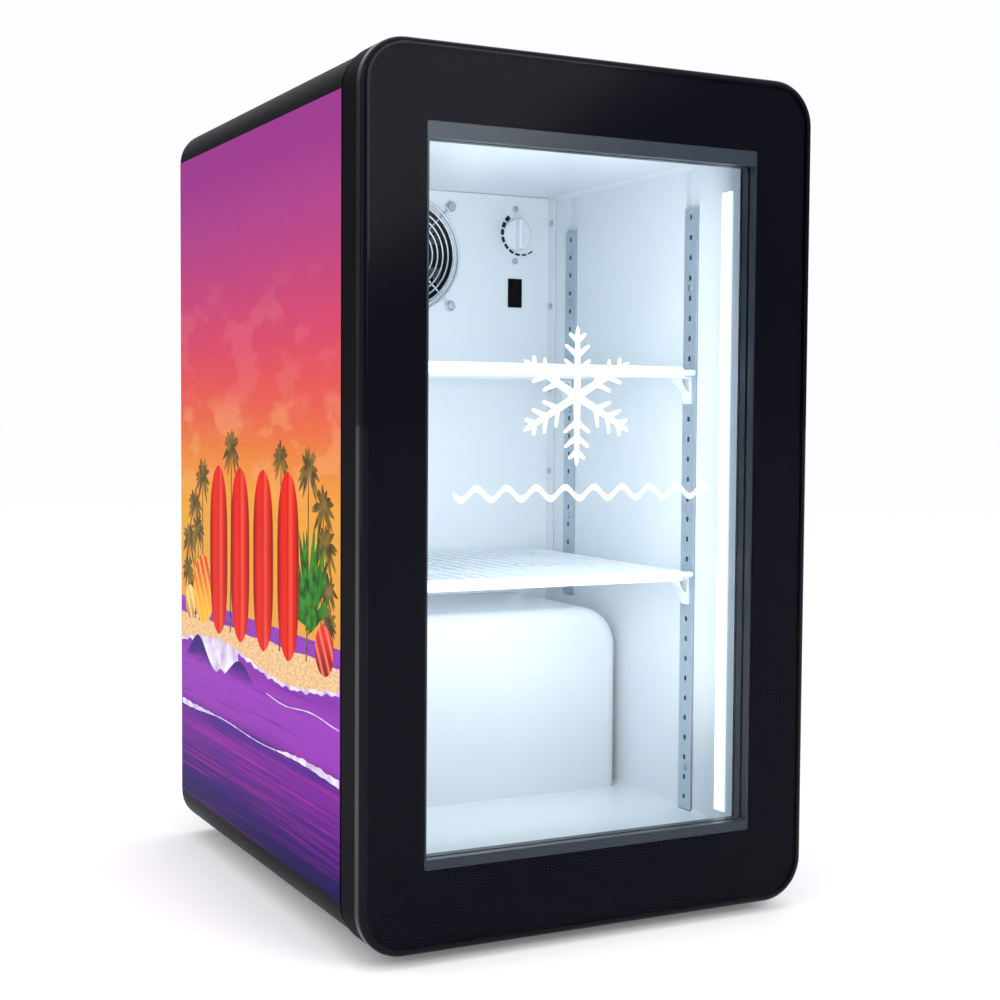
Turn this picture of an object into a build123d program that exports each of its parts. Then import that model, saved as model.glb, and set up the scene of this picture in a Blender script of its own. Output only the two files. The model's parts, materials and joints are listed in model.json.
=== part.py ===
from build123d import *
import os
from math import atan2, degrees, floor, sqrt

# Countertop display cooler with one glazed, right-hinged door.
# Millimetres.  +Z is up, the door faces -Y, and the origin is on the ground under the middle of the cooler.

# ------------------------------------------------------------------ driving sizes
# Overall
door_width = 430.0
door_height = 729.0
door_thickness = 41.0
door_corner_r = 38.0
gasket_gap = 9.0              # from the door's rear face to the cabinet's front face
cabinet_depth = 455.0
cabinet_inset = 2.5           # the cabinet's outline stands this far inside the door's, all round
cabinet_corner_r = 33.0
foot_height = 12.0

# Cabinet sheets and insulation
shell_t = 1.0
front_frame_t = 2.0
liner_t = 2.0
side_wall_t = 39.5            # shell, foam and liner together
ceiling_t = 54.5
floor_t = 53.5
rear_wall_t = 40.0
liner_corner_r = 5.0
rear_recess = 2.0             # rear sheets sit this far inside the shell's rear edge
rear_sheet_t = 1.0
film_t = 0.2

# Step in the liner over the machine bay
step_depth = 260.0            # from the step's face to the cabinet's rear face
step_height = 185.0           # above the compartment floor
step_corner_r = 41.0
step_edge_r = 12.0
step_side_gap = 6.0
step_side_depth = 24.0        # how far back the gap beside the step runs
step_wall_t = 38.0            # liner, foam and bay sheet together
bay_sheet_t = 1.0
base_plate_t = 2.0

# Feet
foot_r = 16.0
foot_inset_x = 50.0           # from the cabinet's side to the foot's middle
foot_inset_y = 55.0
foot_recess_r = 6.0
foot_recess_h = 5.0

# Door
trim_width = 6.2
trim_depth = 12.0
trim_edge_r = 5.0
trim_clearance = 0.1
trim_joint_gap = 0.2
trim_corner_side = 64.0       # corner piece's leg down the side
trim_corner_top = 48.0        # corner piece's leg along the top or bottom
glass_setback = 0.6
front_glass_t = 3.2
mask_t = 0.2
mask_side = 57.0              # printed border, from the door's side
mask_top = 63.0
mask_bottom = 67.0
mask_corner_r = 2.0
front_spacer_t = 7.4
middle_glass_t = 3.0
rear_spacer_t = 8.1
rear_glass_t = 3.0
spacer_side = 58.8            # sight line of the spacers, from the door's side
spacer_top = 76.0
spacer_bottom = 75.6
pane_side = 46.5              # edge of the inner panes, from the door's side
pane_end = 61.0
pane_clearance = 0.5
frame_wall = 3.0

# Gasket
gasket_inset = 19.5
gasket_width = 14.0
gasket_rest_gap = 0.3         # light touch on the cabinet, drawn as a small gap
gasket_wall = 2.0
magnet_t = 3.0

# Hinge
hinge_inset_x = 12.0          # pin axis from the door's side
hinge_inset_y = 24.0          # pin axis from the door's front
hinge_from_end = 45.0         # bracket arm from the door's top or bottom
pin_r = 3.0
pin_length = 21.0
pin_running_gap = 0.05
bush_wall = 2.0
bush_length = 9.0
arm_width = 11.0
arm_t = 3.0
arm_slot_gap = 0.75
hinge_plate_t = 2.5
hinge_screw_size = (3.4, 1.5, 1.8, 14.0)    # each screw: head radius, head height, shank radius and length
hinge_screw_places = (12.0, 30.0)           # from the arm, down or up the plate
arm_slot_lead = 1.5           # slot past the arm, towards the door's middle
arm_slot_front = 3.0          # slot past the arm, towards the door's front
hinge_boss_cap = 4.0          # solid frame past the end of each bush
pin_chamfer = 0.6
hinge_plate_length = 40.0
hinge_boss_wall = 9.0

# Compartment fittings
cover_t = 1.5
cover_gap = 0.5
cover_rear_gap = 57.0         # from the cover's face to the compartment's rear wall
cover_flange = 14.0
cover_flange_t = 1.2
cover_screw_size = (3.2, 1.8, 1.6, 10.0)
cover_screw_top = 28.0        # first side screw below the ceiling
cover_screw_pitch = 90.0
return_slot_h = 24.0
return_slot_gap = 5.0
return_slot_side = 10.0
return_outer_w = 20.0
return_bar = 14.0
rail_width = 21.0
rail_depth = 7.0
rail_sheet_t = 1.0
rail_screw_size = (3.2, 1.2, 1.6, 16.0)
rail_proud = 2.0
rail_groove_gap = 0.5
groove_top_gap = 6.0
front_rail_inset = 18.5       # rail's middle behind the shelf's front face
rear_rail_inset = 38.0        # rail's middle ahead of the shelf's rear rod
rail_bottom_gap = 2.0
rail_top_gap = 41.0
slot_pitch = 19.05
slot_w = 4.0
slot_h = 4.5
slot_first = 11.75            # first slot above the compartment floor
led_front_y = 19.0            # lamp's middle, from the cabinet's front face
led_width = 18.0
led_depth = 8.0
led_bottom = 11.0
led_top_gap = 31.0
led_wall = 1.5
led_lens_proud = 2.5

# Shelves
shelf_front = 58.0            # from the cabinet's front face to the shelf's front face
shelf_rear_gap = 12.0         # from the shelf to the cover
shelf_side_rod_r = 3.0
shelf_cross_rod_r = 2.8
shelf_wire_r = 1.8
shelf_wire_pitch = 15.0
shelf_end_gap = 3.6           # rod end to the compartment wall
shelf_lip_inset = 19.4        # front lip's end to the compartment wall
shelf_lip_h = 10.0
shelf_lip_t = 4.0
shelf_lip_chamfer = 3.0
shelf_cross_share = (0.37, 0.68)
lower_shelf_slot = 11         # slot that carries the lower shelf's clips, counted from the bottom
upper_shelf_slot = 21
clip_arm = 17.0
clip_foot = 3.0               # web's depth at its lower end
clip_waist = (7.0, 0.55)      # a point of the web's curve: out from the rail, and share of the drop
clip_window = (5.0, 0.45, 0.6)    # opening: out from its own edge, and two shares of the drop
clip_hook = 2.6               # hook's reach through the slot
clip_drop = 26.0
clip_width = 9.0
clip_wall = 2.4
clip_play = 0.3               # drawn between the clip and the shelf that rests on it
clip_clearance = 0.2          # hook in its slot

# Evaporator fan
fan_size = 120.0
fan_depth = 25.0
fan_hole_pitch = 105.0
fan_from_ceiling = 69.0
fan_ring_r = 57.0
fan_tip_gap = 2.0
fan_hub_r = 19.0
fan_blades = 7
fan_blade_t = 1.8
fan_blade_angle = 38.0
fan_shaft_r = 1.5
fan_shaft_l = 11.5
fan_shaft_gap = 0.05
guard_wire_r = 1.1
guard_eye_wire_r = 1.2
guard_outer_r = 60.7
guard_pitch = 6.1
guard_rings = 8
guard_eye_r = 4.6
guard_ring_front = 1.6        # rings in front of the legs
fan_screw_size = (3.8, 2.2, 2.0, 12.0)
fan_corner_r = 5.0
fan_flange_t = 4.0
fan_duct_wall = 2.0
fan_hole_r = 2.2
fan_cup_l = 5.0
fan_strut_half_w = 2.0
fan_strut_half_t = 1.5
rotor_front_gap = 2.5         # hub behind the housing's front face
rotor_rear_gap = 6.0          # hub in front of the housing's rear face
rotor_dome_r = 2.5
rotor_front_wall = 5.0        # solid hub in front of the shaft
rotor_blade_inset = 0.5       # blades inside the hub's two faces
rotor_blade_chord = 30.0

# Thermostat and lamp switch
dial_inset = 43.0             # from the compartment's side wall
dial_from_ceiling = 42.5
knob_r = 16.5
knob_h = 6.0
knob_ridge_h = 9.0
knob_ridge_w = 5.0
knob_gap = 0.6
dial_shaft_r = 3.0
dial_shaft_gap = 0.05
dial_screw_pitch = 56.0
dial_screw_size = (3.4, 2.0, 1.6, 8.0)
dial_hole_gap = 2.0
dial_shaft_front = 5.0        # shaft in front of the cover
dial_shaft_end_gap = 0.5
thermostat_size = (40.0, 24.0, 30.0)
knob_round = 1.5
switch_from_dial = 62.5
switch_w = 16.5
switch_h = 31.0
switch_bezel_t = 1.2
switch_bezel_w = 2.0          # bezel past the body, all round
switch_body_l = 18.0
switch_well_l = 10.0
rocker_less_w = 7.0           # rocker narrower than the bezel
rocker_less_h = 9.0
rocker_end_gap = 1.2
rocker_axis_back = 4.0        # axle behind the cover's face
rocker_axle_hold = 1.0        # axle let into each wall
rocker_front = (6.6, 5.4)     # front face from the axle, at its ends and at its middle
rocker_keel = (2.5, 2.4)      # half-width and depth of the keel behind the axle
rocker_gap = 0.5
rocker_tilt = 7.0
rocker_axle_r = 1.2

# Evaporator
evap_side_gap = 48.5          # from the coil's last fin to the compartment's side wall
evap_cover_gap = 10.0         # behind the cover sheet
evap_depth = 34.0
evap_above_step = 30.0
evap_below_fan = 24.0
evap_rows = 6
fin_pitch = 9.0
fin_t = 1.2
fin_tube_end = 4.0            # straight tube beyond the last fin
pipe_r = 3.0

# Machine bay
compressor_x = 92.0
compressor_r = 58.0
compressor_headroom = 13.5    # under the bay's shoulder
compressor_off_middle = 4.0   # towards the rear from the middle of the bay
compressor_sink = 2.0         # the can's foot sits this deep in its mounting plate
stub_length = 14.0
stub_above_mount = 60.0
stub_r = 4.0
mount_half = 62.0
mount_t = 8.0
grommet_at = 52.0             # from the compressor's axis, both ways
grommet_r = 9.0
grommet_h = 9.0
relay_out = 22.0
relay_in = 8.0
relay_half = 22.0
relay_above_mount = 40.0
relay_h = 50.0
condenser_x = -105.0
condenser_w = 150.0
condenser_t = 30.0
condenser_floor_gap = 12.0
condenser_headroom = 14.5
condenser_rear_gap = 8.0
condenser_rows = 5
condenser_fan_gap = 6.0
pipe_bend = 12.0
discharge_turn = 22.0         # from the compressor's stub to the rising pipe
drier_r = 8.0
drier_l = 80.0
drier_floor_gap = 40.0
drier_wall_gap = 26.0         # drier's axis behind the bay's front sheet
suction_r = 4.0
suction_bend = 10.0
suction_below_top = 12.0
drain_x_share = 0.5           # drain's place across half the compartment
drain_r = 5.0
drain_bore_r = 3.5
drain_rear_gap = 20.0
drain_below_bay_top = 30.0
tray_half = 50.0
tray_depth = 28.0
tray_h = 22.0
tray_wall = 2.0

# Rear grille and power inlet
grille_gap = 0.3              # under the rear panel
louvre_w = 70.0
louvre_h = 4.0
louvre_pitch = 9.0
louvre_from_base = 30.0
louvre_off_condenser = 42.0
louvre_off_compressor = 36.0
inlet_w = 48.0
inlet_h = 28.0
inlet_from_side = 60.0        # inlet's middle, from the cabinet's side
inlet_above_base = 30.0
inlet_depth = 22.0
inlet_flange_side = 4.0
inlet_flange_end = 3.0
inlet_flange_t = 1.8
socket_half_w = 12.0
socket_half_h = 8.0
socket_depth = 15.0
inlet_pin_pitch = 7.0
inlet_pin_half_w = 1.0
inlet_pin_half_h = 2.0
inlet_pin_l = 14.0

# ------------------------------------------------------------------ places worked out from them
door_y0 = -(door_thickness + gasket_gap + cabinet_depth) / 2
door_y1 = door_y0 + door_thickness
cab_y0 = door_y1 + gasket_gap
cab_y1 = cab_y0 + cabinet_depth
door_half = door_width / 2
cab_half = door_half - cabinet_inset
cab_z0 = foot_height
door_z0 = cab_z0 - cabinet_inset
door_z1 = door_z0 + door_height
cab_z1 = door_z1 - cabinet_inset
door_mid_z = (door_z0 + door_z1) / 2

room_half = cab_half - side_wall_t
floor_z = cab_z0 + floor_t
ceiling_z = cab_z1 - ceiling_t
room_back = cab_y1 - rear_wall_t
step_y = cab_y1 - step_depth
step_z = floor_z + step_height
rear_sheet_y = cab_y1 - rear_recess - rear_sheet_t
bay_y0 = step_y + step_wall_t
bay_top = step_z - step_wall_t
bay_shoulder = step_z - step_corner_r - step_wall_t
bay_upper_half = room_half - step_side_gap - step_wall_t
base_top = cab_z0 + shell_t + base_plate_t

glass_y0 = door_y0 + glass_setback
mask_y0 = glass_y0 + front_glass_t
front_spacer_y0 = mask_y0 + mask_t
middle_glass_y0 = front_spacer_y0 + front_spacer_t
rear_spacer_y0 = middle_glass_y0 + middle_glass_t
rear_glass_y0 = rear_spacer_y0 + rear_spacer_t

hinge_x = door_half - hinge_inset_x
hinge_y = door_y0 + hinge_inset_y
hinge_zs = {"upper": door_z1 - hinge_from_end, "lower": door_z0 + hinge_from_end}

cover_y = room_back - cover_rear_gap
shelf_y0 = cab_y0 + shelf_front
shelf_y1 = cover_y - shelf_rear_gap
rail_face_x = room_half - rail_proud
rail_z0s = {"front": floor_z + rail_bottom_gap, "rear": step_z + rail_bottom_gap}
rail_z1 = ceiling_z - rail_top_gap
slot_count = int(floor((rail_z1 - floor_z - slot_first - slot_h) / slot_pitch)) + 1
slot_zs = [floor_z + slot_first + slot_pitch * i for i in range(slot_count)]
clip_slot_zs = {
    "lower": slot_zs[min(lower_shelf_slot, slot_count - 3)],
    "upper": slot_zs[min(upper_shelf_slot, slot_count - 2)],
}
rail_ys = {"front": shelf_y0 + front_rail_inset, "rear": shelf_y1 - rear_rail_inset}
led_y = cab_y0 + led_front_y
led_z0 = floor_z + led_bottom
led_z1 = ceiling_z - led_top_gap
fan_z = ceiling_z - fan_from_ceiling
dial_x = room_half - dial_inset
dial_z = ceiling_z - dial_from_ceiling
switch_z = dial_z - switch_from_dial
shelf_half = room_half - shelf_end_gap
side_rod_x = rail_face_x - clip_arm / 2

nodes = {}


# ------------------------------------------------------------------ small shapes
def block(x0, x1, y0, y1, z0, z1):
    """Box between two corners."""
    centre = ((x0 + x1) / 2, (y0 + y1) / 2, (z0 + z1) / 2)
    return Pos(*centre) * Box(x1 - x0, y1 - y0, z1 - z0)


def slab(half, z0, z1, radius, y0, y1):
    """Rounded rectangle seen from the front, centred on X, running from y0 back to y1."""
    outline = RectangleRounded(2 * half, z1 - z0, radius)
    return Pos(0, y1, (z0 + z1) / 2) * Rot(90, 0, 0) * extrude(outline, y1 - y0)


def door_slab(inset, y0, y1):
    """Slab with the door's outline, set in by an equal inset all round."""
    return slab(door_half - inset, door_z0 + inset, door_z1 - inset, max(door_corner_r - inset, 1.0), y0, y1)


def cabinet_slab(inset, y0, y1):
    """Slab with the cabinet's outline, set in by an equal inset all round."""
    return slab(cab_half - inset, cab_z0 + inset, cab_z1 - inset, cabinet_corner_r - inset, y0, y1)


def rod_x(x0, x1, y, z, r):
    """Round bar along X."""
    return Pos((x0 + x1) / 2, y, z) * Rot(0, 90, 0) * Cylinder(r, abs(x1 - x0))


def rod_y(x, y0, y1, z, r):
    """Round bar along Y."""
    return Pos(x, (y0 + y1) / 2, z) * Rot(90, 0, 0) * Cylinder(r, abs(y1 - y0))


def rod_z(x, y, z0, z1, r):
    """Round bar along Z."""
    return Pos(x, y, (z0 + z1) / 2) * Cylinder(r, abs(z1 - z0))


def screw(place, direction, head_r, head_h, shank_r, shank_l):
    """Pan-head screw: the head's underside is at the place, and the shank runs along the direction."""
    plane = Plane(origin=place, z_dir=direction)
    head = plane.offset(-head_h) * Pos(0, 0, head_h / 2) * Cylinder(head_r, head_h)
    head = fillet(head.edges().sort_by(Axis(plane.origin, plane.z_dir))[0], head_h * 0.45)
    shank = plane * Pos(0, 0, shank_l / 2) * Cylinder(shank_r, shank_l)
    return head + shank


def solids_of(shapes):
    """One compound of separate solids, for a group of identical pieces."""
    return Compound(children=[s for shape in shapes for s in shape.solids()])


def tube_path(points, radius, bend):
    """Round pipe through the points, with one bend radius at its corners."""
    path = FilletPolyline(*points, radius=bend)
    section = Plane(origin=path @ 0, z_dir=path % 0) * Circle(radius)
    return sweep(section, path=path)


def mirror_pair(shape):
    """The shape and its mirror image across the middle plane."""
    return [shape, mirror(shape, about=Plane.YZ)]


# ------------------------------------------------------------------ cabinet
def step_block(shrink):
    """The raised step over the machine bay, made smaller by a sheet thickness for its hidden side."""
    half = room_half - step_side_gap - shrink
    y0 = step_y + shrink
    body = slab(half, floor_z - floor_t, step_z - shrink, step_corner_r - shrink, y0, cab_y1 + 1)
    front = body.faces().sort_by(Axis.Y)[0]
    upper = [e for e in front.edges() if e.center().Z > floor_z]
    body = fillet(upper, step_edge_r - shrink)
    return body + block(-cab_half, cab_half, step_y + step_side_depth + shrink, cab_y1 + 1, floor_z - floor_t,
                        step_z - step_corner_r - shrink)


def wall_grooves(grow):
    """Recesses in the liner's side walls for the rails and the lamp."""
    half_w = rail_width / 2 + rail_groove_gap + grow
    deep = room_half + rail_depth - rail_proud + grow
    cuts = []
    for end, y in rail_ys.items():
        cuts += mirror_pair(block(0.8 * room_half, deep, y - half_w, y + half_w, rail_z0s[end] - 1 - grow,
                                  ceiling_z - groove_top_gap + grow))
    half_l = led_width / 2 + grow
    cuts.append(block(0.8 * room_half, room_half + led_depth + grow, led_y - half_l, led_y + half_l,
                      led_z0 - grow, led_z1 + grow))
    return cuts


def liner_volume(grow):
    """Space inside the compartment, or with a positive grow, everything inside the liner's hidden face."""
    room = slab(room_half + grow, floor_z - grow, ceiling_z + grow, liner_corner_r + grow, cab_y0,
                room_back + grow)
    for cut in wall_grooves(grow):
        room = room + cut
    return room - step_block(grow)


liner_inside = liner_volume(0)
liner_outside = liner_volume(liner_t)


def bay_volume(grow):
    """Space of the machine bay: full width below, narrower under the step's rounded top corners."""
    lower = block(-cab_half, cab_half, bay_y0 - grow, rear_sheet_y, cab_z0, bay_shoulder + grow)
    upper_half = bay_upper_half + grow
    upper = block(-upper_half, upper_half, bay_y0 - grow, rear_sheet_y, cab_z0, bay_top + grow)
    return lower + upper


bay_box = bay_volume(0)
bay_box_out = bay_volume(bay_sheet_t)
shell_inside = cabinet_slab(shell_t, cab_y0, cab_y1)

nodes["outer_shell"] = cabinet_slab(0, cab_y0, cab_y1) - shell_inside
nodes["front_frame"] = cabinet_slab(shell_t, cab_y0, cab_y0 + front_frame_t) - liner_outside
nodes["inner_liner"] = liner_outside - liner_inside
foam = cabinet_slab(shell_t, cab_y0 + front_frame_t, rear_sheet_y) - liner_outside - bay_box_out
nodes["machine_bay_divider"] = (bay_box_out - bay_box) & shell_inside
rear_sheet = cabinet_slab(shell_t, rear_sheet_y, rear_sheet_y + rear_sheet_t)
nodes["rear_panel"] = rear_sheet & block(-cab_half, cab_half, 0, cab_y1, bay_top + bay_sheet_t, cab_z1)
nodes["base_plate"] = (
    block(-cab_half, cab_half, bay_y0, rear_sheet_y, cab_z0, base_top) & shell_inside
)


def side_film():
    """Printed film on the flat part of the right side, between its two rounded corners."""
    flat_zs = (cab_z0 + cabinet_corner_r, cab_z1 - cabinet_corner_r)
    return block(cab_half, cab_half + film_t, cab_y0, cab_y1, *flat_zs)


right_film = side_film()
nodes["right_side_film"] = right_film
nodes["left_side_film"] = mirror(right_film, about=Plane.YZ)


def foot(x, y):
    """Round rubber foot, tapered at the bottom, with a recess for its fixing screw."""
    body = rod_z(x, y, 0, foot_height, foot_r)
    body = chamfer(body.edges().sort_by(Axis.Z)[0], 2.0)
    return body - rod_z(x, y, 0, foot_recess_h, foot_recess_r)


foot_xs = (foot_inset_x - cab_half, cab_half - foot_inset_x)
foot_ys = (cab_y0 + foot_inset_y, cab_y1 - foot_inset_y)
nodes["rubber_feet"] = solids_of([foot(x, y) for x in foot_xs for y in foot_ys])

# Rear grille over the machine bay, with louvre slots and a cut-out for the power inlet
grille = rear_sheet & block(-cab_half, cab_half, 0, cab_y1, 0, bay_top + bay_sheet_t - grille_gap)
louvre_z0 = base_top + louvre_from_base
louvre_rows = int((bay_top - louvre_z0 - louvre_from_base) / louvre_pitch)
louvre_xs = (condenser_x - louvre_off_condenser, condenser_x + louvre_off_condenser,
             compressor_x - louvre_off_compressor)
louvres = [
    block(x - louvre_w / 2, x + louvre_w / 2, rear_sheet_y - 1, cab_y1, louvre_z0 + louvre_pitch * i,
          louvre_z0 + louvre_pitch * i + louvre_h)
    for x in louvre_xs
    for i in range(louvre_rows)
]


def about_inlet(half_w, half_h, y0, y1, dx=0.0, dz=0.0):
    """Block centred on the power inlet, or off it by dx and dz."""
    x = cab_half - inlet_from_side + dx
    z = base_top + inlet_above_base + dz
    return block(x - half_w, x + half_w, y0, y1, z - half_h, z + half_h)


sheet_back = rear_sheet_y + rear_sheet_t
inlet_body = about_inlet(inlet_w / 2 - inlet_flange_side, inlet_h / 2 - inlet_flange_end,
                         rear_sheet_y - inlet_depth, sheet_back)
inlet_flange = about_inlet(inlet_w / 2, inlet_h / 2, sheet_back, sheet_back + inlet_flange_t)
inlet_socket = about_inlet(socket_half_w, socket_half_h, rear_sheet_y - socket_depth, cab_y1)
pin_y0 = rear_sheet_y - socket_depth - 1
inlet_pins = [
    about_inlet(inlet_pin_half_w, inlet_pin_half_h, pin_y0, pin_y0 + inlet_pin_l, dx, dz)
    for dx, dz in ((-inlet_pin_pitch, -inlet_pin_half_h), (0, inlet_pin_half_h),
                   (inlet_pin_pitch, -inlet_pin_half_h))
]
nodes["power_inlet"] = Part() + (inlet_body + inlet_flange - inlet_socket) + inlet_pins
nodes["rear_grille"] = grille - louvres - inlet_body

# ------------------------------------------------------------------ door
door_slot_y0 = door_y0 + trim_depth
opening_half = door_half - pane_side + pane_clearance
opening_z0 = door_z0 + pane_end - pane_clearance
opening_z1 = door_z1 - pane_end + pane_clearance
pane_half = door_half - pane_side
pane_z0 = door_z0 + pane_end
pane_z1 = door_z1 - pane_end


def hinge_boss(z):
    """Solid block inside the door frame around one end's pin, arm slot and bushes."""
    reach = arm_t / 2 + arm_slot_gap + bush_length + hinge_boss_cap
    return block(hinge_x - pin_r - bush_wall - hinge_boss_wall, door_half - frame_wall / 2,
                 door_slot_y0 + frame_wall / 2, door_y1 - frame_wall / 2, z - reach, z + reach)


def hinge_slot(z):
    """Pocket that lets the bracket's arm swing from straight back to sideways out of the door."""
    half = arm_t / 2 + arm_slot_gap
    return block(hinge_x - arm_width / 2 - arm_slot_lead, door_half + 1,
                 hinge_y - arm_width / 2 - arm_slot_front, door_y1 + 1, z - half, z + half)


def bush_bore(z):
    """Round bores for the two bushes of one hinge, above and below its slot."""
    reach = arm_t / 2 + arm_slot_gap + bush_length
    return rod_z(hinge_x, hinge_y, z - reach, z + reach, pin_r + bush_wall)


def door_frame():
    """Hollow moulded frame: side wall, rear wall and inner wall, with solid blocks at the hinges."""
    trim_seat = trim_width + trim_clearance
    body = door_slab(0, door_slot_y0, door_y1) + door_slab(trim_seat, front_spacer_y0, door_slot_y0)
    outer_hollow = door_slab(frame_wall, door_slot_y0 + frame_wall, door_y1 - frame_wall)
    front_hollow = door_slab(trim_seat + frame_wall, front_spacer_y0, door_slot_y0 + frame_wall)
    inner_wall = slab(opening_half + frame_wall, opening_z0 - frame_wall, opening_z1 + frame_wall,
                      frame_wall + 1, front_spacer_y0, door_y1)
    hollow = (outer_hollow + front_hollow) - inner_wall
    body = body - hollow
    for z in hinge_zs.values():
        body = body + hinge_boss(z)
    body = body - slab(opening_half, opening_z0, opening_z1, 1.0, front_spacer_y0 - 1, door_y1 + 1)
    for z in hinge_zs.values():
        body = body - hinge_slot(z) - bush_bore(z)
    return body


nodes["door_frame"] = door_frame()
nodes["front_glass"] = door_slab(trim_width + trim_clearance, glass_y0, mask_y0)
window = slab(door_half - mask_side, door_z0 + mask_bottom, door_z1 - mask_top, mask_corner_r, mask_y0,
              front_spacer_y0)
nodes["border_mask"] = door_slab(trim_width + trim_clearance, mask_y0, front_spacer_y0) - window


def pane(y0, thickness):
    """One of the inner panes of the sealed glass unit."""
    return slab(pane_half, pane_z0, pane_z1, 1.0, y0, y0 + thickness)


def spacer(y0, thickness):
    """Spacer frame between two panes, flush with their edges."""
    opening = slab(door_half - spacer_side, door_z0 + spacer_bottom, door_z1 - spacer_top, 1.0, y0 - 1,
                   y0 + thickness + 1)
    return pane(y0, thickness) - opening


nodes["front_spacer"] = spacer(front_spacer_y0, front_spacer_t)
nodes["middle_glass"] = pane(middle_glass_y0, middle_glass_t)
nodes["rear_spacer"] = spacer(rear_spacer_y0, rear_spacer_t)
nodes["rear_glass"] = pane(rear_glass_y0, rear_glass_t)


def trim_ring():
    """Whole edge trim before it is cut into its eight pieces."""
    outer = door_slab(0, door_y0, door_slot_y0)
    outer = fillet(outer.faces().sort_by(Axis.Y)[0].edges(), trim_edge_r)
    inner = door_slab(trim_width, door_y0 - 1, door_slot_y0 + 1)
    return outer - inner


trim = trim_ring()
trim_y = (door_y0 - 1, door_slot_y0 + 1)
half_gap = trim_joint_gap / 2
corner_x = door_half - trim_corner_top
corner_low_z = door_z0 + trim_corner_side
corner_high_z = door_z1 - trim_corner_side
corner_xs = (corner_x + half_gap, door_half + 1)
corner_boxes = mirror_pair(block(*corner_xs, *trim_y, corner_high_z + half_gap, door_z1 + 1))
corner_boxes += mirror_pair(block(*corner_xs, *trim_y, door_z0 - 1, corner_low_z - half_gap))
nodes["trim_corners"] = solids_of([trim & box for box in corner_boxes])
side_boxes = mirror_pair(block(corner_x, door_half + 1, *trim_y, corner_low_z + half_gap,
                               corner_high_z - half_gap))
nodes["trim_sides"] = solids_of([trim & box for box in side_boxes])
end_half = corner_x - half_gap
nodes["trim_ends"] = solids_of([trim & block(-end_half, end_half, *trim_y, *span)
                                for span in ((door_z0 - 1, door_mid_z), (door_mid_z, door_z1 + 1))])

gasket_y1 = cab_y0 - gasket_rest_gap
magnet_y0 = gasket_y1 - gasket_wall - magnet_t
gasket_in = gasket_inset + gasket_width
magnet = door_slab(gasket_inset + gasket_wall, magnet_y0, magnet_y0 + magnet_t)
magnet = magnet - door_slab(gasket_in - gasket_wall, magnet_y0 - 1, magnet_y0 + magnet_t + 1)
gasket = door_slab(gasket_inset, door_y1, gasket_y1) - door_slab(gasket_in, door_y1 - 1, gasket_y1 + 1)
nodes["gasket_magnet"] = magnet
nodes["door_gasket"] = gasket - magnet

# ------------------------------------------------------------------ hinge
brackets = {}
hinge_screw_list = []
for end, z in hinge_zs.items():
    toward_middle = -1 if end == "upper" else 1
    arm_xs = (hinge_x - arm_width / 2, hinge_x + arm_width / 2)
    arm = block(*arm_xs, hinge_y, cab_y0, z - arm_t / 2, z + arm_t / 2)
    nose = rod_z(hinge_x, hinge_y, z - arm_t / 2, z + arm_t / 2, arm_width / 2)
    plate_far = z + toward_middle * hinge_plate_length
    plate = block(*arm_xs, cab_y0 - hinge_plate_t, cab_y0, min(z - arm_t / 2, plate_far),
                  max(z + arm_t / 2, plate_far))
    bracket = arm + nose + plate - rod_z(hinge_x, hinge_y, z - arm_t, z + arm_t, pin_r)
    head_y = cab_y0 - hinge_plate_t + hinge_screw_size[1]
    screw_zs = [z + toward_middle * d for d in hinge_screw_places]
    screws = [screw((hinge_x, head_y, screw_z), (0, 1, 0), *hinge_screw_size) for screw_z in screw_zs]
    hinge_screw_list += screws
    brackets[end] = bracket - screws
nodes["hinge_bracket_upper"] = brackets["upper"]
nodes["hinge_bracket_lower"] = brackets["lower"]
pins = [rod_z(hinge_x, hinge_y, z - pin_length / 2, z + pin_length / 2, pin_r) for z in hinge_zs.values()]
nodes["hinge_pins"] = solids_of([chamfer(p.edges().filter_by(GeomType.CIRCLE), pin_chamfer) for p in pins])
bushes = []
for z in hinge_zs.values():
    for sign in (-1, 1):
        z0 = z + sign * (arm_t / 2 + arm_slot_gap)
        z1 = z0 + sign * bush_length
        sleeve = rod_z(hinge_x, hinge_y, z0, z1, pin_r + bush_wall)
        bushes.append(sleeve - rod_z(hinge_x, hinge_y, z0 - sign, z1 + sign, pin_r + pin_running_gap))
nodes["hinge_bushes"] = solids_of(bushes)
nodes["hinge_screws"] = solids_of(hinge_screw_list)
nodes["front_frame"] = nodes["front_frame"] - hinge_screw_list
foam = foam - hinge_screw_list

# ------------------------------------------------------------------ evaporator cover and its fan
cover_cut = (cover_y - 1, cover_y + cover_t + 1)    # span of every cut through the cover
fan_hole = rod_y(0, *cover_cut, fan_z, fan_ring_r)
cover_half = room_half - cover_gap
cover_z0 = step_z + cover_gap
cover_z1 = ceiling_z - cover_gap
cover = slab(cover_half, floor_z, cover_z1, liner_corner_r, cover_y - cover_flange, cover_y + cover_t)
cover = cover - slab(cover_half - cover_flange_t, floor_z - floor_t, cover_z1 + liner_corner_r, 1.0,
                     cover_y - cover_flange - 1, cover_y)
cover = cover - step_block(-cover_gap)
return_zs = (cover_z0 + return_slot_gap, cover_z0 + return_slot_gap + return_slot_h)
return_edge = cover_half - return_slot_side
return_mid = return_edge - return_outer_w - return_bar
return_slots = mirror_pair(block(return_bar / 2, return_mid, *cover_cut, *return_zs))
return_slots += mirror_pair(block(return_mid + return_bar, return_edge, *cover_cut, *return_zs))
cover_screw_span = cover_z1 - cover_screw_top - cover_z0 - 2 * return_slot_h
cover_screw_count = int(cover_screw_span / cover_screw_pitch) + 1
cover_screw_zs = [ceiling_z - cover_screw_top - cover_screw_pitch * i for i in range(cover_screw_count)]
screw_face_x = cover_half - cover_flange_t
cover_screws = []
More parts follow.
